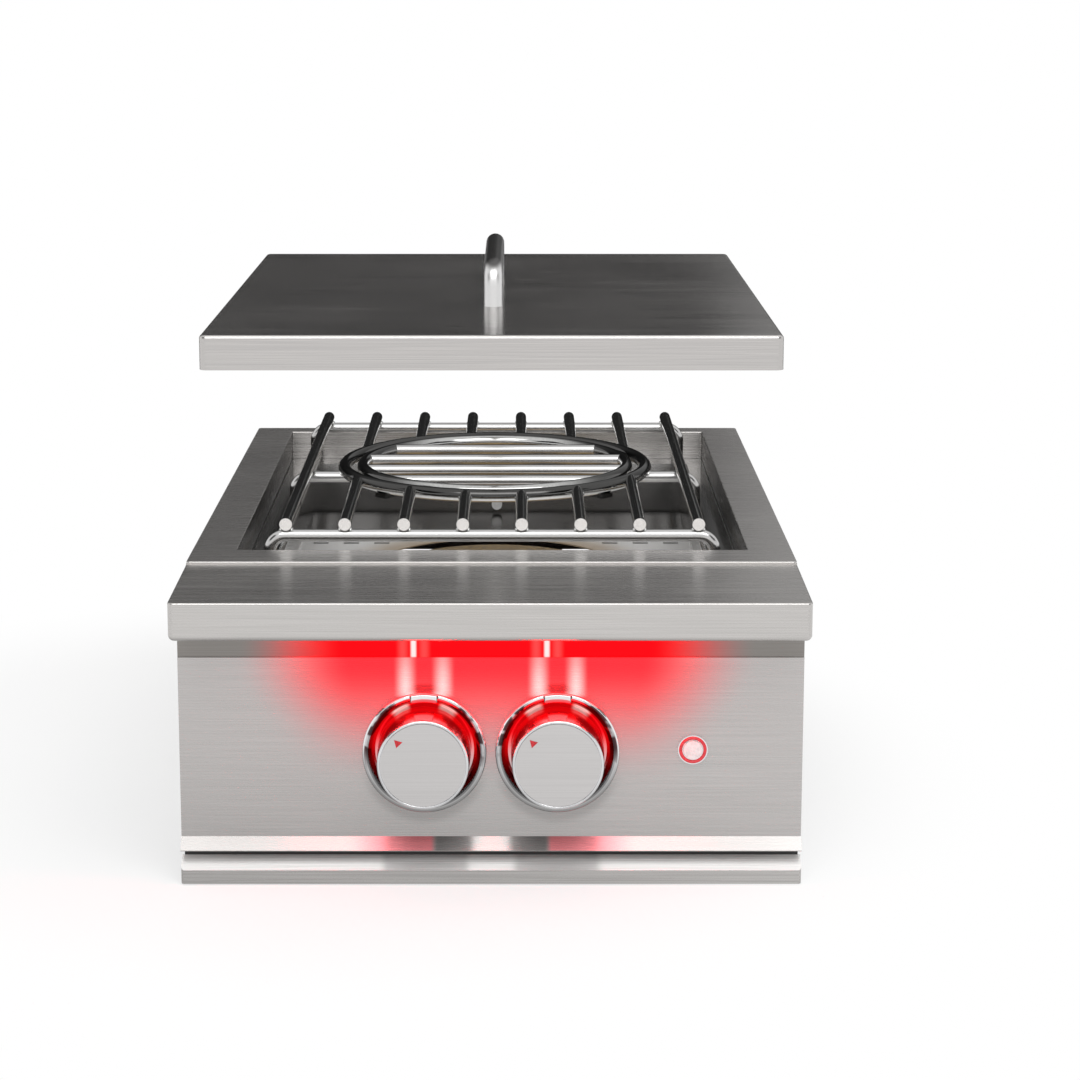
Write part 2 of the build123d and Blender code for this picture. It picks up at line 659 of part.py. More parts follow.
# Grate: long rods cut at the wok ring, bent crossbars, side rails and lugs for the insert
front_bar = RING_Y - CROSSBAR_REACH
back_bar = RING_Y + CROSSBAR_REACH
rod_front = front_bar - ROD_R
rod_back = back_bar + ROD_R
ring = Pos(0, RING_Y, ROD_Z) * Torus(RING_R, RING_ROD_R)
rods = []
for i in (0.5, 1.5, 2.5, 3.5):
    for _, s in SIDES:
        x = s * i * ROD_PITCH
        if abs(x) > RING_R:
            rods.append(rod_y(x, ROD_Z, rod_front, rod_back, ROD_R) - ring)
        else:
            reach = sqrt(RING_R ** 2 - x ** 2)
            rods.append(rod_y(x, ROD_Z, rod_front, RING_Y - reach, ROD_R) - ring)
            rods.append(rod_y(x, ROD_Z, RING_Y + reach, rod_back, ROD_R) - ring)
save("grate_rods", *rods)
for _, s in SIDES:
    for a in (45, 135):
        lug = block(LUG_IN_R, LUG_OUT_R, -LUG_W / 2, LUG_W / 2, LUG_TOP - LUG_T, LUG_TOP)
        ring += Pos(0, RING_Y, 0) * Rot(0, 0, s * a) * lug
save("wok_ring", ring)
grate_rails = [rod_y(s * LEG_X, RAIL_Z, RING_Y - RAIL_REACH, RING_Y + RAIL_REACH, ROD_R) for _, s in SIDES]
save("grate_rails", *grate_rails)
crossbars = []
for y in (front_bar, back_bar):
    corners = [(-LEG_X, RAIL_Z), (-LEG_X, CROSSBAR_Z), (LEG_X, CROSSBAR_Z), (LEG_X, RAIL_Z)]
    staple = bent_rod([(x, y, z) for x, z in corners], LEG_BEND, ROD_R)
    crossbars.append(staple - grate_rails[0] - grate_rails[1])
for i, (_, s) in enumerate(SIDES):
    corners = [(s * LEG_X, RAIL_Z), (s * LEG_X, STUB_Z), (s * STUB_END, STUB_Z)]
    stub = bent_rod([(x, RING_Y, z) for x, z in corners], LEG_BEND, ROD_R)
    crossbars.append(stub - grate_rails[i])
save("grate_crossbars", *crossbars)

# Insert that lifts out for a wok: ring and four bars
insert_ring = Pos(0, RING_Y, INSERT_Z) * Torus(INSERT_R, RING_ROD_R)
save("insert_ring", insert_ring)
bars = []
for i in (-1.5, -0.5, 0.5, 1.5):
    offset = i * ROD_PITCH
    reach = sqrt(INSERT_R ** 2 - offset ** 2)
    bars.append(rod_x(RING_Y + offset, INSERT_Z, -reach, reach, ROD_R) - insert_ring)
save("insert_bars", *bars)

# Lid, shown lifted off, with a bar handle screwed on from below
lid = block(-LID_HALF, LID_HALF, LID_FRONT, LID_BACK, LID_LOW, LID_TOP)
lid = fillet(lid.edges().filter_by(Axis.Z), LID_CORNER_R)
lid = fillet(lid.faces().sort_by(Axis.Z)[-1].edges(), LID_EDGE_R)
inside_half = LID_HALF - LID_T
inside = block(
    -inside_half, inside_half, LID_FRONT + LID_T, LID_BACK - LID_T, LID_LOW - CUT, LID_TOP - LID_T,
)
inside = fillet(inside.edges().filter_by(Axis.Z), LID_CORNER_R - LID_T)
lid -= fillet(inside.faces().sort_by(Axis.Z)[-1].edges(), LID_EDGE_R - LID_T)
handle_top = LID_TOP + HANDLE_RISE
handle_front, handle_back = HANDLE_LEGS
corners = [
    (handle_front, LID_TOP), (handle_front, handle_top), (handle_back, handle_top), (handle_back, LID_TOP),
]
handle = bent_rod([(0, y, z) for y, z in corners], HANDLE_BEND, HANDLE_R)
lid_screws = []
screw_end = LID_TOP + HANDLE_SCREW_GRIP
for y in HANDLE_LEGS:
    head_top = LID_TOP - LID_T
    lid -= rod_z(0, y, head_top - CUT, LID_TOP + CUT, HANDLE_SCREW_R + PANEL_HOLE_GAP)
    handle -= rod_z(0, y, LID_TOP - CUT, screw_end + CUT, HANDLE_SCREW_R + RUN_FIT)
    screw = rod_z(0, y, head_top, screw_end, HANDLE_SCREW_R)
    screw += rod_z(0, y, head_top - HANDLE_SCREW_HEAD_T, head_top, HANDLE_SCREW_HEAD_R)
    lid_screws.append(screw)
save("lid_shell", lid)
save("lid_handle", handle)
save("lid_handle_screws", *lid_screws)

# Burner castings: open channel below, ported cap on top
outer_inlet_y = RING_Y - sqrt(BURNER_MID_R ** 2 - KNOB_X ** 2)
channel_z = BURNER_Z + BURNER_WALL
outer_base = turned_z(
    [
        (OUTER_IN_R, BURNER_Z), (OUTER_OUT_R, BURNER_Z), (OUTER_OUT_R, CAP_Z),
        (OUTER_OUT_R - BURNER_WALL, CAP_Z), (OUTER_OUT_R - BURNER_WALL, channel_z),
        (OUTER_IN_R + BURNER_WALL, channel_z), (OUTER_IN_R + BURNER_WALL, CAP_Z), (OUTER_IN_R, CAP_Z),
    ],
    0, RING_Y,
)
outer_base -= rod_z(-KNOB_X, outer_inlet_y, BURNER_Z - CUT, channel_z + CUT, TUBE_R + TUBE_FIT)
inner_base = turned_z(
    [
        (0, BURNER_Z), (INNER_OUT_R, BURNER_Z), (INNER_OUT_R, CAP_Z), (INNER_OUT_R - BURNER_WALL, CAP_Z),
        (INNER_OUT_R - BURNER_WALL, channel_z), (0, channel_z),
    ],
    0, RING_Y,
)
inner_base -= rod_z(0, RING_Y, BURNER_Z - CUT, channel_z + CUT, TUBE_R + TUBE_FIT)


def ported_cap(r_in, r_out, ports):
    cap_top = CAP_Z + CAP_H
    cap = turned_z(
        [
            (r_in, CAP_Z), (r_out, CAP_Z), (r_out, CAP_Z + CAP_H / 2), (r_out - CAP_H / 2, cap_top),
            (r_in, cap_top),
        ],
        0, RING_Y,
    )
    port_in = r_out - BURNER_WALL - 2 * CAP_LAP
    port = block(port_in, r_out + CUT, -PORT_W / 2, PORT_W / 2, CAP_Z - CUT, CAP_Z + PORT_H)
    for i in range(ports):
        cap -= Pos(0, RING_Y, 0) * Rot(0, 0, 360 * i / ports) * port
    return cap


save("outer_burner", outer_base)
save("outer_burner_cap", ported_cap(OUTER_IN_R - CAP_LAP, OUTER_OUT_R + CAP_LAP, OUTER_PORTS))
save("inner_burner", inner_base)
save("inner_burner_cap", ported_cap(0, INNER_OUT_R + CAP_LAP, INNER_PORTS))

# Mixing tubes from the valves to the burners, each with an air shutter
routes = (
    ("left", -KNOB_X, [(-KNOB_X, outer_inlet_y)]),
    ("right", KNOB_X, [(KNOB_X, RING_Y - KNOB_X), (0, RING_Y)]),
)
for name, x, turns in routes:
    up_x, up_y = turns[-1]
    line = [(x, TUBE_FRONT, KNOB_Z)] + [(tx, ty, KNOB_Z) for tx, ty in turns] + [(up_x, up_y, channel_z)]
    tube = bent_rod(line, TUBE_BEND, TUBE_R)
    tube += rod_z(up_x, up_y, BURNER_Z - TUBE_COLLAR_T, BURNER_Z, TUBE_COLLAR_R)
    tube -= bent_rod(line, TUBE_BEND, TUBE_BORE_R)
    save(f"{name}_mixing_tube", tube)
shutters = []
for _, s in SIDES:
    x = s * KNOB_X
    shutter = rod_y(x, KNOB_Z, SHUTTER_FRONT, SHUTTER_BACK, SHUTTER_R)
    shutter -= rod_y(x, KNOB_Z, SHUTTER_FRONT + SHEET, SHUTTER_BACK + CUT, TUBE_R + RUN_FIT)
    shutter -= rod_y(x, KNOB_Z, SHUTTER_FRONT - CUT, SHUTTER_FRONT + SHEET + CUT, SHUTTER_HOLE_R)
    shutter -= block(
        x - 2 * SHUTTER_R, x + 2 * SHUTTER_R, SHUTTER_FRONT + 2 * SHEET, TUBE_FRONT - CUT,
        KNOB_Z - SHUTTER_WINDOW / 2, KNOB_Z + SHUTTER_WINDOW / 2,
    )
    shutters.append(shutter)
save("air_shutters", *shutters)

# Two flat bars that carry the burners, notched where a tube's collar comes close
supports = []
for side_y in (-SUPPORT_OFFSET, SUPPORT_OFFSET):
    y0 = RING_Y + side_y - SUPPORT_W / 2
    y1 = RING_Y + side_y + SUPPORT_W / 2
    support = block(-SIDE_IN, SIDE_IN, y0, y1, BURNER_Z - SUPPORT_T, BURNER_Z)
    for _, s in SIDES:
        support += block(s * SIDE_IN, s * (SIDE_IN - SUPPORT_T), y0, y1, BURNER_Z - SUPPORT_TAB, BURNER_Z)
    notch_r = TUBE_COLLAR_R + TUBE_COLLAR_GAP
    support -= rod_z(-KNOB_X, outer_inlet_y, BURNER_Z - SUPPORT_T - CUT, BURNER_Z + CUT, notch_r)
    supports.append(support)
save("burner_supports", *supports)

# Pan bolt on the back wall of the well
bolt_y = WELL_BACK - WELL_TAPER
bolt_z = PAN_FLOOR_Z + 2 * PAN_BOLT_R
save("pan_bolt", rod_y(0, bolt_z, bolt_y - PAN_BOLT_R, bolt_y, PAN_BOLT_R))

# Gas pipe: bent tube with a boss under each valve, and the inlet fitting at the back
pipe_turn = [(PIPE_RIGHT, PIPE_Y, PIPE_Z), (PIPE_RIGHT, PIPE_END, PIPE_Z)]
pipe = bent_rod([(PIPE_LEFT, PIPE_Y, PIPE_Z)] + pipe_turn, PIPE_BEND, PIPE_R)
for _, s in SIDES:
    pipe += rod_z(s * KNOB_X, PIPE_Y, PIPE_Z, VALVE_LOW, BOSS_R)
pipe -= bent_rod([(PIPE_LEFT + PIPE_CAP_T, PIPE_Y, PIPE_Z)] + pipe_turn, PIPE_BEND, PIPE_BORE_R)
for _, s in SIDES:
    pipe -= rod_z(s * KNOB_X, PIPE_Y, PIPE_Z, VALVE_LOW + CUT, BOSS_BORE_R)
save("gas_pipe", pipe)
locknut_end = REAR_OUT + LOCKNUT_T
inlet = hex_y(PIPE_RIGHT, PIPE_Z, PIPE_END, FLANGE_BACK, INLET_HEX)
inlet += rod_y(PIPE_RIGHT, PIPE_Z, FLANGE_BACK, locknut_end, INLET_SHANK_R)
inlet += rod_y(PIPE_RIGHT, PIPE_Z, locknut_end, INLET_END, INLET_R)
inlet -= rod_y(PIPE_RIGHT, PIPE_Z, PIPE_END - CUT, INLET_END + CUT, BOSS_BORE_R)
save("gas_inlet", inlet)
locknut = hex_y(PIPE_RIGHT, PIPE_Z, REAR_OUT, locknut_end, INLET_HEX)
locknut -= rod_y(PIPE_RIGHT, PIPE_Z, REAR_OUT - CUT, locknut_end + CUT, INLET_SHANK_R + RUN_FIT)
save("inlet_locknut", locknut)

# Valves: body, bonnet, jet; inside turn the plug, its spring and the stem of the knob
bodies = []
bonnets = []
jets = []
bezels = []
screws = []
bonnet_front = VALVE_FRONT - BONNET_T
for name, s in SIDES:
    x = s * KNOB_X
    body = block(x - VALVE_HALF, x + VALVE_HALF, VALVE_FRONT, VALVE_BACK, VALVE_LOW, VALVE_TOP)
    body += rod_y(x, KNOB_Z, VALVE_BACK, NOZZLE_END, NOZZLE_R)
    body -= rod_y(x, KNOB_Z, VALVE_FRONT - CUT, VALVE_BORE_END, VALVE_BORE_R)
    body -= rod_y(x, KNOB_Z, VALVE_BORE_END - CUT, NOZZLE_END + CUT, STEM_TAIL_R)
    body -= rod_z(x, PIPE_Y, VALVE_LOW - CUT, KNOB_Z, BOSS_BORE_R)
    bonnet = block(
        x - VALVE_HALF, x + VALVE_HALF, bonnet_front, VALVE_FRONT, VALVE_LOW + BONNET_T, VALVE_TOP,
    )
    bonnet -= rod_y(x, KNOB_Z, bonnet_front - CUT, VALVE_FRONT + CUT, STEM_R + RUN_FIT)
    for side_x in (-1, 1):
        screw_x = x + side_x * (VALVE_HALF - BONNET_SCREW_IN)
        screw = rod_y(screw_x, KNOB_Z, bonnet_front, VALVE_FRONT + BONNET_SCREW_L, BONNET_SCREW_R)
        screw += rod_y(screw_x, KNOB_Z, bonnet_front - SCREW_HEAD_T, bonnet_front, SCREW_HEAD_R)
        hole_r = BONNET_SCREW_R + RUN_FIT
        hole = rod_y(screw_x, KNOB_Z, bonnet_front - CUT, VALVE_FRONT + BONNET_SCREW_L + CUT, hole_r)
        bonnet -= hole
        body -= hole
        screws.append(screw)
    bonnets.append(bonnet)
    jet = rod_y(x, KNOB_Z, NOZZLE_END, ORIFICE_END, ORIFICE_R)
    jets.append(jet - rod_y(x, KNOB_Z, NOZZLE_END - CUT, ORIFICE_END + CUT, ORIFICE_JET_R))
    bodies.append(body)
    plug = rod_y(x, KNOB_Z, PLUG_FRONT, VALVE_BORE_END - PLUG_END_GAP, VALVE_BORE_R - RUN_FIT)
    plug -= rod_y(x, KNOB_Z, PLUG_FRONT - CUT, PLUG_FRONT + PLUG_SOCKET, STEM_TAIL_R + RUN_FIT)
    save(f"{name}_valve_plug", plug)
    collar_end = VALVE_FRONT + COLLAR_T
    spring_run = PLUG_FRONT - collar_end - 2 * SPRING_WIRE_R
    coil = Helix(pitch=spring_run / SPRING_TURNS, height=spring_run, radius=SPRING_R)
    wire = sweep(Plane(coil @ 0, z_dir=coil % 0) * Circle(SPRING_WIRE_R), path=coil, is_frenet=True)
    save(f"{name}_stem_spring", Pos(x, PLUG_FRONT - SPRING_WIRE_R, KNOB_Z) * Rot(90, 0, 0) * wire)
    knob_face_y = PANEL_Y - KNOB_FRONT
    inside_y = knob_face_y + FACE_T + KNOB_WALL
    stem_y = inside_y + HUB_END
    stem = rod_y(x, KNOB_Z, stem_y, VALVE_FRONT, STEM_R)
    stem += rod_y(x, KNOB_Z, VALVE_FRONT, collar_end, COLLAR_R)
    stem += rod_y(x, KNOB_Z, collar_end, TAIL_END, STEM_TAIL_R)
    save(f"{name}_stem", stem)

    # Knob: hollow cap on the stem, satin face disc and a small pointer
    skirt_y = PANEL_Y - KNOB_SKIRT
    hub_y = skirt_y - HUB_SHORT
    section = section_y(
        [
            (0, knob_face_y + FACE_T), (FACE_R, knob_face_y + FACE_T), (FACE_R, knob_face_y),
            (KNOB_R, knob_face_y), (KNOB_SKIRT_R, skirt_y), (KNOB_SKIRT_R - KNOB_WALL, skirt_y),
            (KNOB_R - KNOB_WALL - KNOB_DRAFT, inside_y), (HUB_R, inside_y), (HUB_R, hub_y), (0, hub_y),
        ],
    )
    rim_corner = section.vertices().group_by(Axis.Y)[0].sort_by(Axis.X)[-1]
    knob = Pos(x, 0, KNOB_Z) * revolve(fillet(rim_corner, KNOB_EDGE_R), Axis.Y, 360)
    save(f"{name}_knob", knob - rod_y(x, KNOB_Z, stem_y, skirt_y, STEM_R + RUN_FIT))
    save(f"{name}_knob_face", rod_y(x, KNOB_Z, knob_face_y, knob_face_y + FACE_T, FACE_R))
    pointer_at = Plane((x + POINTER_X, knob_face_y, KNOB_Z + POINTER_Z), z_dir=(0, -1, 0))
    pointer = pointer_at * RegularPolygon(POINTER_SIZE, 3, rotation=-POINTER_TURN)
    save(f"{name}_pointer", extrude(pointer, amount=POINTER_T))

    # Bezel: dish ring on the panel with a rolled rim and an index block at the top
    rim_y = PANEL_Y - BEZEL_H
    plate_y = PANEL_Y - BEZEL_PLATE
    section = section_y(
        [
            (STEM_HOLE_R, PANEL_Y), (BEZEL_R, PANEL_Y), (BEZEL_R, rim_y), (BEZEL_R - BEZEL_RIM, rim_y),
            (DISH_R, plate_y), (STEM_HOLE_R, plate_y),
        ],
    )
    bezel = revolve(fillet(section.vertices().group_by(Axis.Y)[0], BEZEL_RIM_R), Axis.Y, 360)
    index_y = rim_y - INDEX_PROUD
    index = block(x - INDEX_HALF, x + INDEX_HALF, index_y, plate_y, KNOB_Z + DISH_R, KNOB_Z + BEZEL_R)
    index = index & rod_y(x, KNOB_Z, index_y, PANEL_Y, BEZEL_R - INDEX_EDGE)
    index -= rod_y(x, KNOB_Z, index_y - CUT, PANEL_Y, DISH_R + INDEX_DISH_GAP)
    bezels.append(Pos(x, 0, KNOB_Z) * bezel + index)
save("valve_bodies", *bodies)
save("valve_bonnets", *bonnets)
save("gas_jets", *jets)
save("knob_bezels", *bezels)

# Light bar inside the bullnose: channel, board with chips, and lens
bar_y = return_y + BAR_D
bar_low = NOSE_LOW + NOSE_T
bar_top = bar_low + BAR_H
channel = block(-BAR_HALF, BAR_HALF, return_y, bar_y, bar_low, bar_top)
channel -= block(
    -BAR_HALF - CUT, BAR_HALF + CUT, return_y + SHEET, bar_y - SHEET, bar_low - CUT, bar_top - SHEET,
)
save("light_channel", channel)
board_low = bar_top - SHEET - BOARD_T
board_half = BAR_HALF - BOARD_IN
board = block(-board_half, board_half, return_y + BOARD_IN, bar_y - BOARD_IN, board_low, bar_top - SHEET)
chip_y = (return_y + bar_y) / 2
chips_each_side = int((BAR_HALF - CHIP_END) / CHIP_PITCH)
for i in range(-chips_each_side, chips_each_side + 1):
    board += Pos(i * CHIP_PITCH, chip_y, board_low - CHIP_T / 2) * Box(CHIP, CHIP, CHIP_T)
save("light_board", board)
save("light_lens", block(-BAR_HALF, BAR_HALF, return_y + SHEET, bar_y - SHEET, bar_low, bar_low + LENS_T))
save("light_driver", block(
    -SIDE_IN, -SIDE_IN + DRIVER_T, DRIVER_FRONT, DRIVER_FRONT + DRIVER_L, DRIVER_TOP - DRIVER_H, DRIVER_TOP,
))

# Light switch: body, nut, lit ring and push button
button_front = PANEL_Y - BUTTON_FLANGE_T
switch = rod_y(BUTTON_X, KNOB_Z, button_front, PANEL_Y, BUTTON_FLANGE_R)
switch += rod_y(BUTTON_X, KNOB_Z, PANEL_Y, SWITCH_BACK, SWITCH_BARREL_R)
switch -= rod_y(BUTTON_X, KNOB_Z, button_front - CUT, SWITCH_BORE_END, BUTTON_R + BUTTON_FIT)
save("light_switch", switch)
switch_nut_end = PANEL_BACK + SWITCH_NUT_T
switch_nut = hex_y(BUTTON_X, KNOB_Z, PANEL_BACK, switch_nut_end, SWITCH_NUT_AF)
switch_nut -= rod_y(BUTTON_X, KNOB_Z, PANEL_BACK - CUT, switch_nut_end + CUT, SWITCH_BARREL_R + RUN_FIT)
save("switch_nut", switch_nut)
glow = rod_y(BUTTON_X, KNOB_Z, button_front - GLOW_T, button_front, GLOW_OUT_R)
save("switch_glow_ring", glow - rod_y(BUTTON_X, KNOB_Z, button_front - CUT, button_front + CUT, GLOW_IN_R))
button_y = button_front - BUTTON_PROUD
save("light_button", rod_y(BUTTON_X, KNOB_Z, button_y, button_y + BUTTON_LENGTH, BUTTON_R))

# Drip tray on two angle rails, with a folded front
tray_rails = []
rail_end = FLANGE_BACK - RAIL_END_GAP
for _, s in SIDES:
    rail_low = TRAY_Z - SHEET
    rail = block(s * (SIDE_IN - RAIL_FOOT), s * SIDE_IN, FLOOR_FRONT, rail_end, rail_low, TRAY_Z)
    rail += block(s * (SIDE_IN - SHEET), s * SIDE_IN, FLOOR_FRONT, rail_end, rail_low, TRAY_Z + RAIL_WALL)
    tray_rails.append(rail)
save("tray_rails", *tray_rails)
tray = block(-TRAY_HALF, TRAY_HALF, TRAY_JOIN_Y, TRAY_BACK, TRAY_Z, TRAY_TOP)
tray_in = TRAY_HALF - TRAY_T
tray -= block(
    -tray_in, tray_in, TRAY_JOIN_Y + TRAY_T, TRAY_BACK - TRAY_T, TRAY_Z + TRAY_T, TRAY_TOP + CUT,
)
save("tray_pan", tray)
tray_front = prism_x(
    [
        (TRAY_JOIN_Y, TRAY_TOP), (TRAY_FRONT_Y + TRAY_CHAMFER, TRAY_TOP),
        (TRAY_FRONT_Y, TRAY_TOP - TRAY_CHAMFER), (TRAY_FRONT_Y, TRAY_LOW), (TRAY_JOIN_Y, TRAY_LOW),
    ],
    -HALF, HALF,
)
tray_ends = tray_front.faces().sort_by(Axis.Y)[0].edges().filter_by(Axis.Z)
tray_front = fillet(tray_ends, TRAY_END_R)
tray_inside = TRAY_FRONT_Y + SHEET
tray_open = TRAY_JOIN_Y + CUT
tray_front -= prism_x(
    [
        (tray_open, TRAY_TOP - SHEET), (tray_inside + TRAY_CHAMFER - SHEET / 2, TRAY_TOP - SHEET),
        (tray_inside, TRAY_TOP - TRAY_CHAMFER - SHEET / 2), (tray_inside, TRAY_LOW + SHEET),
        (tray_open, TRAY_LOW + SHEET),
    ],
    -HALF + TRAY_END_R, HALF - TRAY_END_R,
)
save("tray_front", tray_front)

# Screws of the housing and studs of the panel, saved with the screws of the bonnets
for _, s in SIDES:
    head_x = s * SIDE_OUT
    for y in FRAME_SCREW_Y:
        screw = rod_x(y, FRAME_SCREW_Z, s * OPEN_HALF, head_x, SCREW_R)
        screws.append(screw + rod_x(y, FRAME_SCREW_Z, head_x, head_x + s * SCREW_HEAD_T, SCREW_HEAD_R))
    for z in REAR_SCREW_Z:
        screw = rod_y(s * REAR_SCREW_X, z, FLANGE_BACK - SCREW_GRIP, REAR_OUT, SCREW_R)
        screws.append(screw + rod_y(s * REAR_SCREW_X, z, REAR_OUT, REAR_OUT + SCREW_HEAD_T, SCREW_HEAD_R))
    for z in STUD_Z:
        stud = rod_y(s * STUD_X, z, PANEL_BACK, PANEL_BACK + STUD_LENGTH, STUD_R)
        screws.append(stud + hex_y(s * STUD_X, z, FASCIA_BACK, FASCIA_BACK + NUT_T, NUT_AF))
save("sheet_screws", *screws)
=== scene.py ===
import math

import bmesh
import bpy
import numpy as np
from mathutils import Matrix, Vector


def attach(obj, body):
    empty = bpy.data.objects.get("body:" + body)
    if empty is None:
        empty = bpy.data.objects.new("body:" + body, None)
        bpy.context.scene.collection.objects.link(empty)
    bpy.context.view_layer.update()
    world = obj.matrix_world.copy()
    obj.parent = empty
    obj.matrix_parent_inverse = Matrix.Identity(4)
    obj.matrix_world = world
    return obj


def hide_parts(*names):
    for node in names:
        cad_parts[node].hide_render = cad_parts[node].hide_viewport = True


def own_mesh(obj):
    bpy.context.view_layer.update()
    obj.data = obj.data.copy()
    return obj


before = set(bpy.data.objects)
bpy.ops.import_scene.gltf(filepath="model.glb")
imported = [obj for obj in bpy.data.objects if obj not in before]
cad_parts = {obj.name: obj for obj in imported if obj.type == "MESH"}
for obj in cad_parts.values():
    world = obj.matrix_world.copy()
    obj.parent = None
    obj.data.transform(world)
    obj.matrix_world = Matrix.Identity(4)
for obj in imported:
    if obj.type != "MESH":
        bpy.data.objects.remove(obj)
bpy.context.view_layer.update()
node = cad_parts

# Housing under the counter: sides, rear wall, floor, firewall, burner bars, pan ledge and tray rails.
# Rolled stainless sheet with a dull upright grain, cut, folded and screwed together.
UP_AND_DOWN = (0, 0, 1)
RELIEF_STRENGTH = 0.3
GRAIN_ALONG = 9
GRAIN_ACROSS = 2200
GRAIN_GLOSS = 0.03
GRAIN_DEPTH = 0.00001
SLOW_CLOUDS = 7.0
CLOUD_GLOSS = 0.008
PULL_ASIDE = (0.013, 0.017, 0.011)


def emptied(owner, output):
    """The cleared node tree of a material or world, and the socket that its surface is wired into."""
    owner.use_nodes = True
    tree = owner.node_tree
    tree.nodes.clear()
    return tree, tree.nodes.new(output).inputs["Surface"]


def blank(name):
    """An empty material, its node tree and the shader that the finish is wired into."""
    mat = bpy.data.materials.new(name)
    tree, surface = emptied(mat, "ShaderNodeOutputMaterial")
    shader = tree.nodes.new("ShaderNodeBsdfPrincipled")
    tree.links.new(shader.outputs["BSDF"], surface)
    return mat, tree, shader


def noise(tree, scale, detail, stretch=(1, 1, 1)):
    """Noise on the piece's own place in metres, with scale times stretch spots to the metre along each axis:
    its value socket."""
    place = tree.nodes.new("ShaderNodeTexCoord")
    mapping = tree.nodes.new("ShaderNodeMapping")
    mapping.inputs["Scale"].default_value = stretch
    tree.links.new(place.outputs["Object"], mapping.inputs["Vector"])
    texture = tree.nodes.new("ShaderNodeTexNoise")
    texture.inputs["Scale"].default_value = scale
    texture.inputs["Detail"].default_value = detail
    tree.links.new(mapping.outputs["Vector"], texture.inputs["Vector"])
    return texture.outputs["Fac"]


def calc(tree, kind, a, b=0.0):
    """One step of arithmetic between two values, each a socket or a number."""
    step = tree.nodes.new("ShaderNodeMath")
    step.operation = kind
    for place, value in zip(step.inputs, (a, b)):
        if isinstance(value, (int, float)):
            place.default_value = value
        else:
            tree.links.new(value, place)
    return step.outputs[0]


def between(tree, value, low, high, start=0.3, end=0.7):
    """The value, eased from start..end to low..high and held there."""
    spread = tree.nodes.new("ShaderNodeMapRange")
    spread.interpolation_type = "SMOOTHSTEP"
    spread.inputs["From Min"].default_value = start
    spread.inputs["From Max"].default_value = end
    spread.inputs["To Min"].default_value = low
    spread.inputs["To Max"].default_value = high
    tree.links.new(value, spread.inputs["Value"])
    return spread.outputs["Result"]


def blend(tree, amount, first, second):
    """A colour that goes from the first to the second with the amount, each a colour or a socket."""
    mix = tree.nodes.new("ShaderNodeMix")
    mix.data_type = "RGBA"
    tree.links.new(amount, mix.inputs["Factor"])
    for place, colour in ((mix.inputs[6], first), (mix.inputs[7], second)):
        if isinstance(colour, tuple):
            place.default_value = (*colour, 1)
        else:
            tree.links.new(colour, place)
    return mix.outputs[2]


def relief(tree, shader, height, depth):
    """A fine relief of that depth in metres on the shader's normal."""
    bump = tree.nodes.new("ShaderNodeBump")
    bump.inputs["Strength"].default_value = RELIEF_STRENGTH
    bump.inputs["Distance"].default_value = depth
    tree.links.new(height, bump.inputs["Height"])
    tree.links.new(bump.outputs["Normal"], shader.inputs["Normal"])


def grained(name, dark, light, rough, along, pull):
    """Sheet with a grain: noise drawn out along one axis tints the steel, its gloss and a relief of some
    microns, slow clouds change the gloss, and reflections are pulled across the grain, along normal times
    that axis plus a little, which keeps a direction where the normal lies along the axis."""
    mat, tree, shader = blank(name)
    grain = noise(tree, 1.0, detail=3.0, stretch=tuple(GRAIN_ALONG if a else GRAIN_ACROSS for a in along))
    cloud = noise(tree, SLOW_CLOUDS, detail=2.0)
    steel = blend(tree, between(tree, grain, 0, 1), dark, light)
    tree.links.new(steel, shader.inputs["Base Color"])
    fine = between(tree, grain, rough - GRAIN_GLOSS, rough + GRAIN_GLOSS)
    slow = between(tree, cloud, -CLOUD_GLOSS, CLOUD_GLOSS)
    tree.links.new(calc(tree, "ADD", fine, slow), shader.inputs["Roughness"])
    relief(tree, shader, grain, GRAIN_DEPTH)
    surface = tree.nodes.new("ShaderNodeNewGeometry")
    cross = tree.nodes.new("ShaderNodeVectorMath")
    cross.operation = "CROSS_PRODUCT"
    cross.inputs[1].default_value = along
    tree.links.new(surface.outputs["Normal"], cross.inputs[0])
    pulled = tree.nodes.new("ShaderNodeVectorMath")
    pulled.inputs[1].default_value = PULL_ASIDE
    tree.links.new(cross.outputs["Vector"], pulled.inputs[0])
    tree.links.new(pulled.outputs["Vector"], shader.inputs["Tangent"])
    shader.inputs["Metallic"].default_value = 1.0
    shader.inputs["Anisotropic"].default_value = pull
    return mat, tree, shader, steel


def wear(mat, *names):
    """Gives the solid pieces of these names that finish."""
    for name in names:
        node[name].data.materials.clear()
        node[name].data.materials.append(mat)


rolled_sheet = grained(
    "rolled_sheet", dark=(0.44, 0.44, 0.435), light=(0.52, 0.52, 0.51),
    rough=0.36, along=UP_AND_DOWN, pull=0.5)[0]
wear(rolled_sheet, "left_side", "right_side", "rear_wall", "housing_floor", "firewall", "burner_supports")
wear(rolled_sheet, "pan_ledge", "tray_rails")

# Counter frame and bullnose: thick stainless sheet, brushed from left to right after folding and welding.
# The frame hangs in the counter's cut-out, and the bullnose is tucked under its front edge. The frame's
# turned-down side walls inside the opening are darkened with painted shade.
LEFT_TO_RIGHT = (1, 0, 0)
BRUSHED = dict(
    dark=(0.51, 0.495, 0.48), light=(0.59, 0.57, 0.555),
    rough=0.26, along=LEFT_TO_RIGHT, pull=0.8)
TRENCH_SHADE = (0.03, 0.029, 0.028)
TRENCH_SHADE_MOST = 0.85
SIDEWAYS = (0.7, 0.9)
SIDE_WALL_X = (0.205, 0.215)


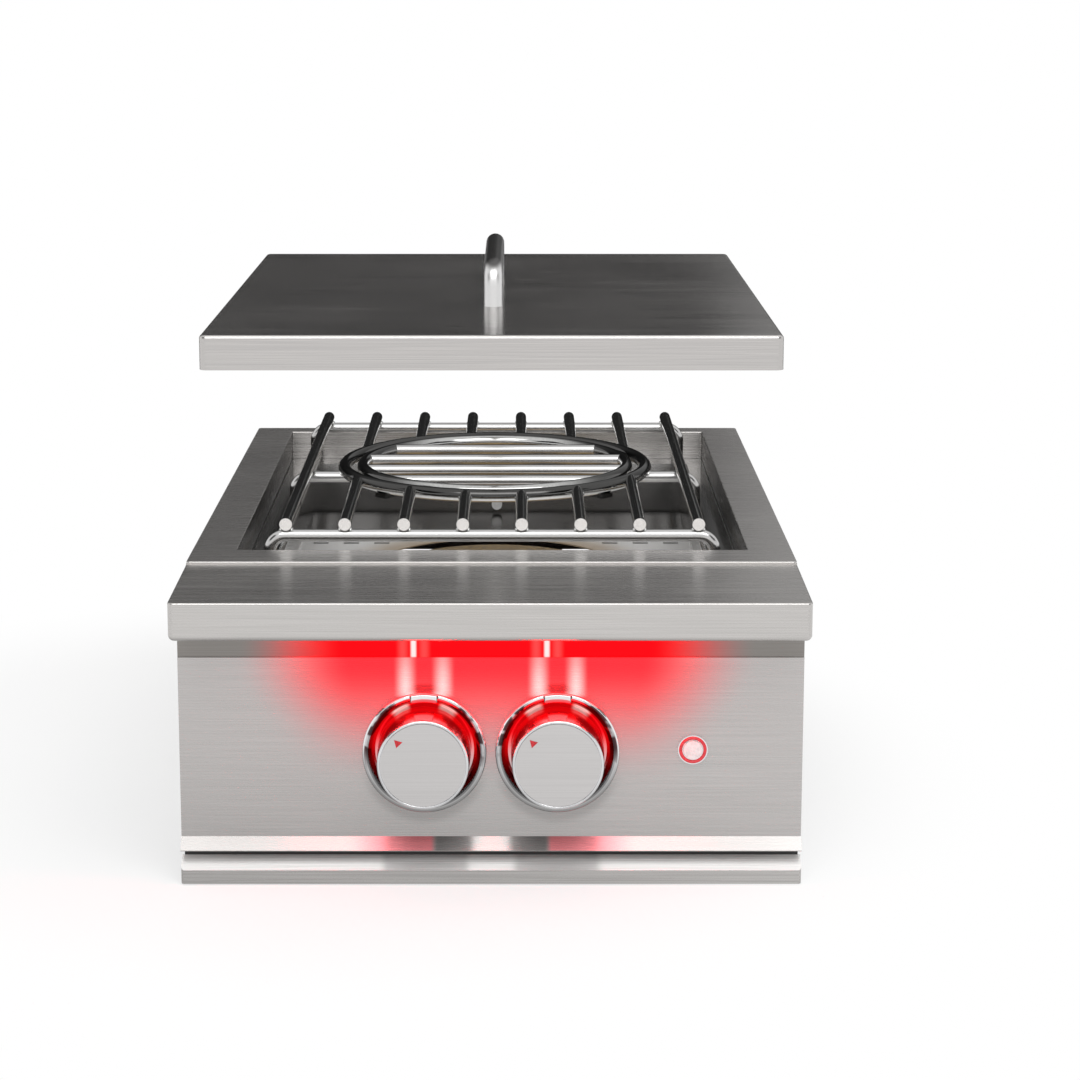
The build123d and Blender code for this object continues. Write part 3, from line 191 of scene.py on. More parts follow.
def axes(tree, vector):
    """A vector's sockets X, Y and Z."""
    split = tree.nodes.new("ShaderNodeSeparateXYZ")
    tree.links.new(vector, split.inputs[0])
    return split.outputs["X"], split.outputs["Y"], split.outputs["Z"]


def where(tree):
    """The piece's own place in metres, as sockets X, Y and Z."""
    return axes(tree, tree.nodes.new("ShaderNodeTexCoord").outputs["Object"])


def facing(tree):
    """The direction that the surface faces, as sockets X, Y and Z."""
    return axes(tree, tree.nodes.new("ShaderNodeNewGeometry").outputs["Normal"])


def apart(tree, value, middle=0.0):
    """How far the value lies from the middle, to either side."""
    return calc(tree, "ABSOLUTE", calc(tree, "SUBTRACT", value, middle))


def both(tree, *amounts):
    """The product of the amounts, which is full only where each of them is."""
    product = amounts[0]
    for amount in amounts[1:]:
        product = calc(tree, "MULTIPLY", product, amount)
    return product


def rising(tree, value, start, end, most=1.0):
    """None up to the start, and eased to the most at the end."""
    return between(tree, value, 0.0, most, start, end)


def falling(tree, value, start, end, most=1.0):
    """The most up to the start, and eased to none at the end."""
    return between(tree, value, most, 0.0, start, end)


def layered(tree, colour, *coats):
    """The colour with coats laid over it in turn, each an amount and a colour."""
    for amount, coat in coats:
        colour = blend(tree, amount, colour, coat)
    return colour


brushed_sheet = grained("brushed_sheet", **BRUSHED)[0]
wear(brushed_sheet, "front_bullnose")
frame_sheet, tree, shader, steel = grained("shaded_frame", **BRUSHED)
# Painted shade on the side walls that face across the opening
sideways = rising(tree, apart(tree, facing(tree)[0]), *SIDEWAYS, most=TRENCH_SHADE_MOST)
side_wall_shade = both(tree, sideways, falling(tree, apart(tree, where(tree)[0]), *SIDE_WALL_X))
tree.links.new(layered(tree, steel, (side_wall_shade, TRENCH_SHADE)), shader.inputs["Base Color"])
wear(frame_sheet, "top_frame")

# Control panel and the strip above it: brushed stainless, hung on studs. The red light bar under the
# bullnose washes both, full on the strip and paler down the panel, with pale streaks where the bezels throw
# it back up. The panel's bent lip mirrors the knobs and the red light as soft patches.
KNOB_X = 0.050
KNOB_Z = 0.105
BLACK = (0, 0, 0)
RED = (0.90, 0.004, 0.008)
LAMP_RED = (1.0, 0.02, 0.03)
PINK = (0.90, 0.74, 0.72)
PANEL_METAL = 0.85
PANEL_GLOW = 0.16
STRIP_GLOW = 0.5

# Wash down the panel, wide at the top
WASH = (0.86, 0.035, 0.05)
WASH_X = 0.004
WASH_Z = (0.076, 0.172)
WASH_HALF = (0.122, 0.150)
WASH_HALF_Z = (0.09, 0.176)
WASH_EDGE = (0.72, 1.32)

# Two streaks over each bezel, with a painted shadow of the index tab between their feet
STREAK_GLOW = (1.0, 0.55, 0.53)
STREAK_OFF = 0.014
STREAK_WIDE = (0.0, 0.0095)
STREAK_FULL_FAINT = (0.95, 0.42)
STREAK_HEAD_Z = (0.152, 0.178)
STREAK_FOOT_Z = (0.110, 0.150)
TAB_SHADOW = (0.42, 0.008, 0.012)
TAB_SHADOW_MOST = 0.7
TAB_SHADOW_X = (0.006, 0.013)
TAB_SHADOW_Z = (0.148, 0.151, 0.1535, 0.1575)

# Soft shade under the bezels
SHADE = (0.28, 0.27, 0.265)
SHADE_MOST = 0.42
SHADE_DROP = 0.009
SHADE_REACH = (0.0440, 0.0520)
SHADE_Z = (0.066, 0.090)

# Lip below the panel, painted darker as shade where it faces up, with a red and a dark patch of painted
# reflection on each side
LIP_SHADE = (0.42, 0.41, 0.40)
LIP_UP = (0.2, 0.4)
LIP_RED = (0.78, 0.24, 0.26)
LIP_RED_X = (0.040, 0.046, 0.080, 0.112)
LIP_DARK = (0.19, 0.18, 0.175)
LIP_DARK_X = (0.010, 0.018, 0.040, 0.046)

# Strip: dark steel of painted shade, the wash, pale lines of painted reflection and the soft light beside
# them
STRIP_WASH = (0.5, 0.003, 0.006)
STRIP_WASH_X = 0.005
STRIP_WASH_HALF = (0.115, 0.195)
LINE_X = -0.008
LINE_MOST = 0.9
LINE_HALF = (0.0008, 0.0030)
LINE_GLOW = (0.9, 0.62, 0.60)
SOFT_OFF = 0.008
SOFT_MOST = 0.35
SOFT_HALF = (0.0, 0.006)
SOFT_GLOW = (0.9, 0.40, 0.38)


def band(tree, value, start, full, fading, end, most=1.0):
    """None up to the start, the most from full to fading, and none from the end on, eased between them."""
    return both(tree, rising(tree, value, start, full, most), falling(tree, value, fading, end))


def distance(tree, across, up):
    """How far a place lies from a middle: the square root of across squared plus up squared."""
    return calc(tree, "SQRT", calc(tree, "ADD", both(tree, across, across), both(tree, up, up)))


panel_steel, tree, shader, steel = grained(
    "brushed_panel", dark=(0.47, 0.455, 0.445), light=(0.55, 0.53, 0.52),
    rough=0.28, along=LEFT_TO_RIGHT, pull=0.6)
x, _, z = where(tree)
wide = calc(tree, "DIVIDE", apart(tree, x, WASH_X), between(tree, z, *WASH_HALF, *WASH_HALF_Z))
wash = both(tree, falling(tree, wide, *WASH_EDGE), rising(tree, z, *WASH_Z))
aside = apart(tree, apart(tree, x), KNOB_X)
streak = both(
    tree,
    falling(tree, apart(tree, aside, STREAK_OFF), *STREAK_WIDE),
    between(tree, z, *STREAK_FULL_FAINT, *STREAK_HEAD_Z),
    rising(tree, z, *STREAK_FOOT_Z),
)
# Painted shadow of each bezel's index tab, just above it
tab_shadow = both(tree, falling(tree, aside, *TAB_SHADOW_X, most=TAB_SHADOW_MOST), band(tree, z, *TAB_SHADOW_Z))
below = distance(tree, aside, calc(tree, "SUBTRACT", z, KNOB_Z - SHADE_DROP))
shade = both(tree, falling(tree, below, *SHADE_REACH, most=SHADE_MOST), falling(tree, z, *SHADE_Z))
# Painted shade where the lip faces up, and painted reflections of the red light and the knobs
lip = rising(tree, facing(tree)[2], *LIP_UP)
lip_red = both(tree, lip, band(tree, apart(tree, x), *LIP_RED_X))
lip_dark = both(tree, lip, band(tree, apart(tree, x), *LIP_DARK_X))
bare = layered(tree, steel, (shade, SHADE), (lip, LIP_SHADE), (lip_red, LIP_RED), (lip_dark, LIP_DARK))
tint = layered(tree, bare, (wash, WASH), (tab_shadow, TAB_SHADOW), (streak, PINK))
glow = layered(tree, BLACK, (wash, LAMP_RED), (streak, STREAK_GLOW))
tree.links.new(tint, shader.inputs["Base Color"])
tree.links.new(glow, shader.inputs["Emission Color"])
shader.inputs["Emission Strength"].default_value = PANEL_GLOW
shader.inputs["Metallic"].default_value = PANEL_METAL
wear(panel_steel, "control_panel")

# The strip's dark steel is painted shade under the bullnose
strip_steel, tree, shader, steel = grained(
    "shaded_strip", dark=(0.24, 0.225, 0.21), light=(0.28, 0.265, 0.25),
    rough=0.32, along=LEFT_TO_RIGHT, pull=0.6)
x = where(tree)[0]
wash = falling(tree, apart(tree, x, STRIP_WASH_X), *STRIP_WASH_HALF)
# Pale lines with soft light beside them: painted reflections of the bezels
beside = apart(tree, apart(tree, x, LINE_X), KNOB_X)
line = falling(tree, beside, *LINE_HALF, most=LINE_MOST)
soft = falling(tree, apart(tree, beside, SOFT_OFF), *SOFT_HALF, most=SOFT_MOST)
tint = layered(tree, steel, (wash, STRIP_WASH), (line, PINK))
glow = layered(tree, BLACK, (wash, RED), (soft, SOFT_GLOW), (line, LINE_GLOW))
tree.links.new(tint, shader.inputs["Base Color"])
tree.links.new(glow, shader.inputs["Emission Color"])
shader.inputs["Emission Strength"].default_value = STRIP_GLOW
wear(strip_steel, "upper_fascia")

# Burners and valves: two cast rings with drilled caps, browned by heat, on two bars under the pan's hole.
# Valves, jets and gas inlet are turned brass, the bonnets die-cast zinc, the pipe and mixing tubes plain
# steel. A coiled wire spring behind the collar of each stem pushes the knob back out.
GLOSSIEST = 0.75
DULLEST = 1.35
SIDES = (("left", -1), ("right", 1))
COLLAR_Y = -0.280
PLUG_Y = -0.270
SPRING_TURNS = 4
COIL_R = 0.0046
WIRE_R = 0.00045
TURN_STEPS = 48
WIRE_STEPS = 12
SAME_POINT = 1e-7
SHARP_EDGE = math.radians(40)


def speckled(name, dark, light, rough, spots, depth):
    """Metal with a fine mottle: small clouds of noise change its tone, gloss and relief together."""
    mat, tree, shader = blank(name)
    cloud = noise(tree, spots, detail=3.0)
    steel = blend(tree, between(tree, cloud, 0, 1), dark, light)
    tree.links.new(steel, shader.inputs["Base Color"])
    tree.links.new(between(tree, cloud, rough * GLOSSIEST, rough * DULLEST), shader.inputs["Roughness"])
    relief(tree, shader, cloud, depth)
    shader.inputs["Metallic"].default_value = 1.0
    return mat, tree, shader, steel


def made(name, grids, mat, body, slot, *stands_for):
    """A piece from grids of points: each row closes on itself, neighbouring rows are joined by four-sided
    faces, points that coincide become one, and the faces are turned outwards."""
    points, faces, start = [], [], 0
    for rows in grids:
        n, m = rows.shape[:2]
        i, j = np.meshgrid(np.arange(n - 1), np.arange(m), indexing="ij")
        k = (j + 1) % m
        quad = np.stack([i * m + j, i * m + k, (i + 1) * m + k, (i + 1) * m + j], -1).reshape(-1, 4)
        points.append(rows.reshape(-1, 3))
        faces.append(quad + start)
        start += n * m
    mesh = bpy.data.meshes.new(name)
    mesh.from_pydata(np.concatenate(points).tolist(), [], np.concatenate(faces).tolist())
    shape = bmesh.new()
    shape.from_mesh(mesh)
    bmesh.ops.remove_doubles(shape, verts=shape.verts, dist=SAME_POINT)
    bmesh.ops.recalc_face_normals(shape, faces=shape.faces)
    shape.to_mesh(mesh)
    shape.free()
    mesh.shade_smooth()
    mesh.set_sharp_from_angle(angle=SHARP_EDGE)
    mesh.materials.append(mat)
    obj = bpy.data.objects.new(name, mesh)
    bpy.context.scene.collection.objects.link(obj)
    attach(obj, body)
    if stands_for:
        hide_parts(*stands_for)
    return obj


def coil_grid(x, start, end, turns, coil_r, wire_r):
    """A spring: a small circle carried along a helix about Y and closed at both ends. A point lies at the
    turn's angle, coil radius + wire radius times cosine from the axis, and at start + share of the run
    + wire radius times sine along it."""
    share = np.concatenate([[0], np.linspace(0, 1, TURN_STEPS * turns + 1), [1]])[:, None]
    wire = np.where((np.arange(len(share)) % (len(share) - 1)) == 0, 0, wire_r)[:, None]
    around = np.linspace(0, 2 * np.pi, WIRE_STEPS, endpoint=False)
    turn = 2 * np.pi * turns * share
    across = coil_r + wire * np.cos(around)
    along = start + wire_r + share * (end - start - 2 * wire_r) + wire * np.sin(around)
    return np.stack([x + across * np.cos(turn), along, KNOB_Z + across * np.sin(turn)], -1)


cast_brass = speckled(
    "heated_brass", dark=(0.26, 0.19, 0.10), light=(0.48, 0.36, 0.20),
    rough=0.48, spots=240.0, depth=0.0002)[0]
wear(cast_brass, "outer_burner", "outer_burner_cap", "inner_burner", "inner_burner_cap")
turned_brass = speckled(
    "turned_brass", dark=(0.62, 0.46, 0.20), light=(0.74, 0.58, 0.30),
    rough=0.28, spots=500.0, depth=0.00003)[0]
wear(turned_brass, "valve_bodies", "left_valve_plug", "right_valve_plug", "gas_jets")
wear(turned_brass, "gas_inlet", "inlet_locknut")
cast_zinc = speckled(
    "cast_zinc", dark=(0.42, 0.42, 0.43), light=(0.54, 0.54, 0.55),
    rough=0.45, spots=300.0, depth=0.0001)[0]
wear(cast_zinc, "valve_bonnets")
tube_steel = speckled(
    "drawn_tube", dark=(0.40, 0.40, 0.40), light=(0.52, 0.52, 0.51),
    rough=0.34, spots=220.0, depth=0.00003)[0]
wear(tube_steel, "left_mixing_tube", "right_mixing_tube", "air_shutters", "gas_pipe")
wear(tube_steel, "left_stem", "right_stem")
fastener_steel = speckled(
    "zinced_fastener", dark=(0.50, 0.50, 0.50), light=(0.60, 0.60, 0.59),
    rough=0.25, spots=500.0, depth=0.00003)[0]
wear(fastener_steel, "lid_handle_screws", "sheet_screws", "switch_nut")
for side, s in SIDES:
    grid = coil_grid(s * KNOB_X, COLLAR_Y, PLUG_Y, SPRING_TURNS, COIL_R, WIRE_R)
    spring = made(
        f"{side}_return_spring", [grid], tube_steel, f"{side}_valve", "spring_steel", f"{side}_stem_spring")
    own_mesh(spring)

# Burner pan: drawn from one smooth sheet, with a deep well and a plated bolt on its back wall, hung by its
# rim on the ledge. The steel is browned by heat around the hole over the burners. Its walls and the back
# of the well are darkened with painted shade, and its front is painted pale as lit and made duller.
BURNER_Y = 0.070
PAN_WALL_SHADE = (0.10, 0.097, 0.094)
PAN_WALL_SHADE_MOST = 0.6
PAN_WALL_Z = (0.162, 0.168, 0.195, 0.203)
WELL_Z = (0.162, 0.168)
WELL_BACK_SHADE = (0.06, 0.058, 0.056)
WELL_BACK_SHADE_MOST = 0.85
WELL_BACK_Y = (0.17, 0.21)
WELL_FRONT_LIT = (0.80, 0.79, 0.78)
WELL_FRONT_Y = (0.15, 0.20)
WELL_FRONT_ROUGH = 0.42
WELL_FRONT_METAL = 0.3
HEATED = (0.42, 0.30, 0.17)
HEATED_MOST = 0.75
HEATED_REACH = (0.108, 0.150)
HEATED_Z = (0.162, 0.18)
PAN_ROUGH = 0.15
BOLT_METAL = 0.25

pan_steel, tree, shader, steel = grained(
    "drawn_pan", dark=(0.50, 0.49, 0.48), light=(0.58, 0.57, 0.56),
    rough=PAN_ROUGH, along=LEFT_TO_RIGHT, pull=0.5)
x, y, z = where(tree)
# Painted shade on the walls and the back of the well, and a painted pale, lit front
wall = band(tree, z, *PAN_WALL_Z, most=PAN_WALL_SHADE_MOST)
well = falling(tree, z, *WELL_Z)
back = both(tree, well, rising(tree, y, *WELL_BACK_Y, most=WELL_BACK_SHADE_MOST))
front = both(tree, well, falling(tree, y, *WELL_FRONT_Y))
outwards = distance(tree, x, calc(tree, "SUBTRACT", y, BURNER_Y))
heated = both(tree, falling(tree, outwards, *HEATED_REACH, most=HEATED_MOST), falling(tree, z, *HEATED_Z))
tint = layered(tree, steel, (wall, PAN_WALL_SHADE), (back, WELL_BACK_SHADE), (front, WELL_FRONT_LIT), (heated, HEATED))
tree.links.new(tint, shader.inputs["Base Color"])
tree.links.new(between(tree, front, PAN_ROUGH, WELL_FRONT_ROUGH, 0.0, 1.0), shader.inputs["Roughness"])
tree.links.new(between(tree, front, 1.0, WELL_FRONT_METAL, 0.0, 1.0), shader.inputs["Metallic"])
wear(pan_steel, "burner_pan")
bolt_steel, _, shader, _ = speckled(
    "plated_bolt", dark=(0.80, 0.80, 0.79), light=(0.88, 0.88, 0.87),
    rough=0.40, spots=500.0, depth=0.00003)
shader.inputs["Metallic"].default_value = BOLT_METAL
wear(bolt_steel, "pan_bolt")

# Light bar: an extruded aluminium channel inside the bullnose, with a lit board behind a red lens.
# Its driver sits in a black moulded case on the housing's left side.
PLASTIC_CLOUDS = 400.0
PLASTIC_GLOSS = 0.05
PLASTIC_DEPTH = 0.00002


def moulded(name, dark, light, rough, glow=None, strength=0.0):
    """Moulded plastic: faint clouds in its colour and a slight grain in its gloss, lit from inside if a glow
    is given."""
    mat, tree, shader = blank(name)
    cloud = noise(tree, PLASTIC_CLOUDS, detail=2.0)
    tree.links.new(blend(tree, between(tree, cloud, 0, 1), dark, light), shader.inputs["Base Color"])
    gloss = between(tree, cloud, rough - PLASTIC_GLOSS, rough + PLASTIC_GLOSS)
    tree.links.new(gloss, shader.inputs["Roughness"])
    relief(tree, shader, cloud, PLASTIC_DEPTH)
    if glow:
        shader.inputs["Emission Color"].default_value = (*glow, 1)
        shader.inputs["Emission Strength"].default_value = strength
    return mat


channel = speckled(
    "plain_aluminium", dark=(0.62, 0.62, 0.62), light=(0.70, 0.70, 0.70),
    rough=0.38, spots=200.0, depth=0.00003)[0]
wear(channel, "light_channel")
red_lens = moulded(
    "red_lens", dark=(0.70, 0.02, 0.03), light=(0.85, 0.03, 0.04),
    rough=0.3, glow=LAMP_RED, strength=4.0)
wear(red_lens, "light_lens")
white_board = moulded("white_board", dark=(0.72, 0.72, 0.72), light=(0.80, 0.80, 0.80), rough=0.5)
wear(white_board, "light_board")
black_case = moulded("black_case", dark=(0.025, 0.025, 0.025), light=(0.045, 0.045, 0.045), rough=0.45)
wear(black_case, "light_driver")

# Light switch: chrome barrel through the panel, a glowing ring let into its flange and a domed push cap.
# Chrome is polished bright with very faint clouds.
CHROME = dict(dark=(0.76, 0.76, 0.77), light=(0.82, 0.82, 0.83), rough=0.06, spots=90.0, depth=0.00001)
BUTTON_STEPS = 96
BUTTON = (0.152, 0.0, KNOB_Z)


def turned(profile, centre, steps):
    """A profile of (place along Y, radius) turned about Y: a point is centre + place along Y + radius times
    (cosine, sine) of the turn along X and Z."""
    along, radius = np.array(profile).T[..., None]
    turn = np.linspace(0, 2 * np.pi, steps, endpoint=False)
    across = radius * np.cos(turn)
    up = radius * np.sin(turn)
    return np.stack([across, np.broadcast_to(along, up.shape), up], -1) + np.array(centre)


def arc(along, radius, r, start, end, steps=9):
    """Points of a profile's rounded corner: centre (along, radius) + r times (cosine, sine), from the start
    to the end angle in degrees."""
    turn = np.radians(np.linspace(start, end, steps))
    return np.stack([along + r * np.cos(turn), radius + r * np.sin(turn)], -1)


chrome = speckled("bright_chrome", **CHROME)[0]
wear(chrome, "light_switch")
glow_red = moulded(
    "glowing_ring", dark=(0.42, 0.03, 0.04), light=(0.52, 0.04, 0.05),
    rough=0.3, glow=LAMP_RED, strength=0.22)
ring_profile = np.concatenate([
    arc(-0.2974, 0.0092, 0.0013, 90, 270, 13),
    [(-0.2972, 0.0079), (-0.2972, 0.0105)],
])
ring_profile = np.concatenate([ring_profile, ring_profile[:1]])
ring_rows = turned(ring_profile, BUTTON, BUTTON_STEPS)
made("glow_ring", [ring_rows], glow_red, "base", "glow_ring_red", "switch_glow_ring")
cap_white = moulded("milky_cap", dark=(0.74, 0.66, 0.66), light=(0.82, 0.76, 0.76), rough=0.28)
cap_profile = np.concatenate([
    [(-0.2873, 0.0), (-0.2873, 0.0074)],
    arc(-0.2983, 0.0066, 0.0008, 90, 180, 7),
    [(-0.2993, 0.0045), (-0.29945, 0.0022), (-0.2995, 0.0)],
])
cap_rows = turned(cap_profile, BUTTON, BUTTON_STEPS)
made("push_cap", [cap_rows], cap_white, "light_button", "button_white", "light_button")

# Knob bezels: turned and chromed dishes on the panel with a rolled rim, each with a raised index tab at the
# top. The dish holds the light bar's red in its upper half, with two painted pale highlights and dark flanks
# of painted reflection, and is darkened below with painted shade.
KNOB_STEPS = 144
BEZEL_GLOW = 0.35
DISH_RED = (0.72, 0.006, 0.012)
DISH_RED_REACH = (0.0395, 0.0425)
DISH_RED_TURN = (1.15, 2.1)
DISH_SHADE = (0.26, 0.255, 0.25)
DISH_SHADE_MOST = 0.8
DISH_SHADE_TURN = (1.2, 2.3)
FLANK_DARK_REFLECTION = (0.05, 0.010, 0.012)
FLANK_MOST = 0.95
FLANK_REACH = (0.0388, 0.0400, 0.0447, 0.0455)
FLANK_TURN = (0.38, 0.62, 1.45, 2.0)
FLANK_CLOUDS = 110.0
FLANK_PATCH = (0.35, 1.0, 0.38, 0.52)
PETAL_HIGHLIGHT = (0.92, 0.76, 0.72)
PETAL_HIGHLIGHT_GLOW = (1.0, 0.72, 0.66)
PETAL_TURN = (0.28, 0.40, 0.62, 0.76)
PETAL_REACH = (0.0325, 0.0345, 0.0385, 0.0393)
TAB_REACH = 0.0427
TAB_HALF_WIDE = 0.0033
TAB_Y = -0.3025
TAB_HALF_DEEP = 0.0050
TAB_HALF_TURN = np.radians(14.5)
TAB_STRAIGHT = 0.93
TAB_ROWS = 41
TAB_END_SHADE = (0.05, 0.015, 0.016)
TAB_END_SHADE_MOST = 0.95
TAB_END_SHADE_X = (0.0092, 0.0099)
SQUARENESS = 0.4


def oblong(steps):
    """Points round an oblong with rounded corners, from -1 to 1 both ways: the cosine and the sine of the
    turn, each raised to the power of 0.4 with its sign kept."""
    turn = np.linspace(0, 2 * np.pi, steps, endpoint=False)
    return [np.sign(c) * np.abs(c) ** SQUARENESS for c in (np.cos(turn), np.sin(turn))]


def tab_grid(x):
    """An index tab: a rounded oblong of radius and depth carried round the bezel's top by an angle, and
    drawn in to its middle at both ends by the square root of 1 - past squared, past being how far beyond
    the straight part."""
    outwards, forwards = oblong(steps=48)
    share = np.linspace(-1, 1, TAB_ROWS)
    past = np.clip((np.abs(share) - TAB_STRAIGHT) / (1 - TAB_STRAIGHT), 0, 1)
    draw = np.sqrt(np.clip(1 - past ** 2, 0, 1))[:, None]
    angle = TAB_HALF_TURN * share[:, None]
    radius = TAB_REACH + TAB_HALF_WIDE * draw * outwards
    depth = TAB_Y + TAB_HALF_DEEP * draw * forwards
    return np.stack([x + radius * np.sin(angle), depth, KNOB_Z + radius * np.cos(angle)], -1)


bezel_chrome, tree, shader, steel = speckled(
    "bezel_chrome", dark=(0.82, 0.82, 0.83), light=(0.88, 0.88, 0.89),
    rough=0.07, spots=90.0, depth=0.00001)
x, _, z = where(tree)
out_x = apart(tree, apart(tree, x), KNOB_X)
out_z = calc(tree, "SUBTRACT", z, KNOB_Z)
reach = distance(tree, out_x, out_z)
turn = calc(tree, "ARCTAN2", out_x, out_z)
# Painted shade below, the light bar's red above, painted pale highlights and dark flanks of painted
# reflection
dim = rising(tree, turn, *DISH_SHADE_TURN, most=DISH_SHADE_MOST)
lit = both(tree, falling(tree, reach, *DISH_RED_REACH), falling(tree, turn, *DISH_RED_TURN))
patch = between(tree, noise(tree, FLANK_CLOUDS, detail=1.0), *FLANK_PATCH)
flank_reflection = both(tree, band(tree, reach, *FLANK_REACH), patch, band(tree, turn, *FLANK_TURN, most=FLANK_MOST))
petal_highlight = both(tree, band(tree, turn, *PETAL_TURN), band(tree, reach, *PETAL_REACH))
tint = layered(tree, steel, (dim, DISH_SHADE), (lit, DISH_RED), (petal_highlight, PETAL_HIGHLIGHT), (flank_reflection, FLANK_DARK_REFLECTION))
glow = layered(tree, BLACK, (lit, RED), (petal_highlight, PETAL_HIGHLIGHT_GLOW), (flank_reflection, BLACK))
tree.links.new(tint, shader.inputs["Base Color"])
tree.links.new(glow, shader.inputs["Emission Color"])
shader.inputs["Emission Strength"].default_value = BEZEL_GLOW
bezel_profile = np.concatenate([
    [(-0.2945, 0.0080), (-0.2945, 0.0467)],
    arc(-0.3041, 0.0443, 0.0024, 90, 180),
    arc(-0.3041, 0.0441, 0.0024, 180, 240),
    [(-0.3030, 0.0408)],
    arc(-0.2995, 0.0406, 0.0022, 250, 300, 5),
    [(-0.2965, 0.0372), (-0.2965, 0.0080), (-0.2945, 0.0080)],
])
bezels = [turned(bezel_profile, (s * KNOB_X, 0, KNOB_Z), KNOB_STEPS) for _, s in SIDES]
made("bezel_dishes", bezels, bezel_chrome, "base", "polished_chrome", "knob_bezels")
tab_chrome, tree, shader, steel = speckled("tab_chrome", **CHROME)
# The tab's ends are darkened with painted shade
ends = rising(tree, apart(tree, apart(tree, where(tree)[0]), KNOB_X), *TAB_END_SHADE_X, most=TAB_END_SHADE_MOST)
tree.links.new(layered(tree, steel, (ends, TAB_END_SHADE)), shader.inputs["Base Color"])
tabs = [tab_grid(s * KNOB_X) for _, s in SIDES]
made("index_tabs", tabs, tab_chrome, "base", "polished_chrome")

# Knobs: turned zinc, chromed, hollow behind, pushed on the valve stems. A satin disc is let into each front,
# with a small red enamel mark. The upper side of the chrome shows the light bar's red.
KNOB_RED = (0.80, 0.05, 0.06)
KNOB_UP = (0.1, 0.85)
KNOB_RIM_Y = (-0.3354, -0.3340)
KNOB_GLOW = 0.3

knob_chrome, tree, shader, steel = speckled(
    "knob_chrome", dark=(0.66, 0.66, 0.67), light=(0.74, 0.74, 0.75),
    rough=0.13, spots=90.0, depth=0.00001)
upper = both(tree, rising(tree, facing(tree)[2], *KNOB_UP), rising(tree, where(tree)[1], *KNOB_RIM_Y))
tree.links.new(layered(tree, steel, (upper, KNOB_RED)), shader.inputs["Base Color"])
tree.links.new(layered(tree, BLACK, (upper, RED)), shader.inputs["Emission Color"])
shader.inputs["Emission Strength"].default_value = KNOB_GLOW
knob_profile = np.concatenate([
    [(-0.3355, 0.0), (-0.3355, 0.0319), (-0.3363, 0.0319)],
    [(-0.3365, 0.0321), (-0.3365, 0.0328)],
    arc(-0.3353, 0.0328, 0.0012, 180, 90),
    [(-0.3340, 0.03408), (-0.3032, 0.03514)],
    arc(-0.3026, 0.0346, 0.0006, 90, 0, 5),
    [(-0.3020, 0.0322), (-0.3315, 0.0300), (-0.3315, 0.0090), (-0.3040, 0.0090), (-0.3040, 0.0068)],
    [(-0.3310, 0.0068), (-0.3310, 0.0)],
])
for side, s in SIDES:
    grid = turned(knob_profile, (s * KNOB_X, 0, KNOB_Z), KNOB_STEPS)
    made(f"{side}_knob_shell", [grid], knob_chrome, f"{side}_knob", "polished_chrome", f"{side}_knob")
satin = grained(
    "satin_disc", dark=(0.58, 0.565, 0.56), light=(0.63, 0.615, 0.61),
    rough=0.42, along=LEFT_TO_RIGHT, pull=0.3)[0]
wear(satin, "left_knob_face", "right_knob_face")
red_enamel = moulded("red_enamel", dark=(0.45, 0.01, 0.015), light=(0.58, 0.02, 0.03), rough=0.25)
wear(red_enamel, "left_pointer", "right_pointer")

# Drip tray: a folded stainless pan on two rails, with a hollow brushed front that closes the gap under the
# panel. The front's slanted upper edge is painted pale as lit, dimmer across each knob's width, and a black
# strip behind it is painted shade in the gap.
SLANT_UP = (0.2, 0.5)
SLANT_METAL = 0.25
SLANT_PAINTED_LIT = (0.62, 0.61, 0.60)
SLANT_DIM = (0.36, 0.35, 0.345)
SLANT_DIM_MOST = 0.7
SLANT_DIM_X = (0.014, 0.022, 0.078, 0.086)


def shade_strip_grid(half, y, low, high, thick):
    """A dark strip of painted shade: a flat oblong with rounded edges, of that thickness and from low to
    high, carried along X and drawn in to its middle at both ends."""
    across, upright = oblong(steps=32)
    x = half * np.array([-1, -1, -0.999, -0.5, 0, 0.5, 0.999, 1, 1])
    draw = np.array([0, 0.8, 1, 1, 1, 1, 1, 0.8, 0])[:, None]
    rise = (low + high) / 2 + draw * upright * (high - low) / 2
    return np.stack([np.broadcast_to(x[:, None], rise.shape), y + draw * across * thick / 2, rise], -1)


wear(rolled_sheet, "tray_pan")
tray_steel, tree, shader, steel = grained("brushed_tray", **BRUSHED)
# The slanted upper edge is painted pale as lit, dimmer across each knob's width
slant = rising(tree, facing(tree)[2], *SLANT_UP)
dim = band(tree, apart(tree, where(tree)[0]), *SLANT_DIM_X, most=SLANT_DIM_MOST)
pale = layered(tree, SLANT_PAINTED_LIT, (dim, SLANT_DIM))
tree.links.new(layered(tree, steel, (slant, pale)), shader.inputs["Base Color"])
tree.links.new(between(tree, slant, 1.0, SLANT_METAL, 0.0, 1.0), shader.inputs["Metallic"])
wear(tray_steel, "tray_front")
# A black strip standing in for the shade in the gap under the panel
gap_shade_black = moulded("gap_shade_black", dark=(0.012, 0.012, 0.012), light=(0.022, 0.022, 0.022), rough=0.6)
shade_rows = shade_strip_grid(half=0.2330, y=-0.2922, low=0.0185, high=0.0263, thick=0.0016)
made("gap_shade_strip", [shade_rows], gap_shade_black, "drip_tray", "driver_plastic")

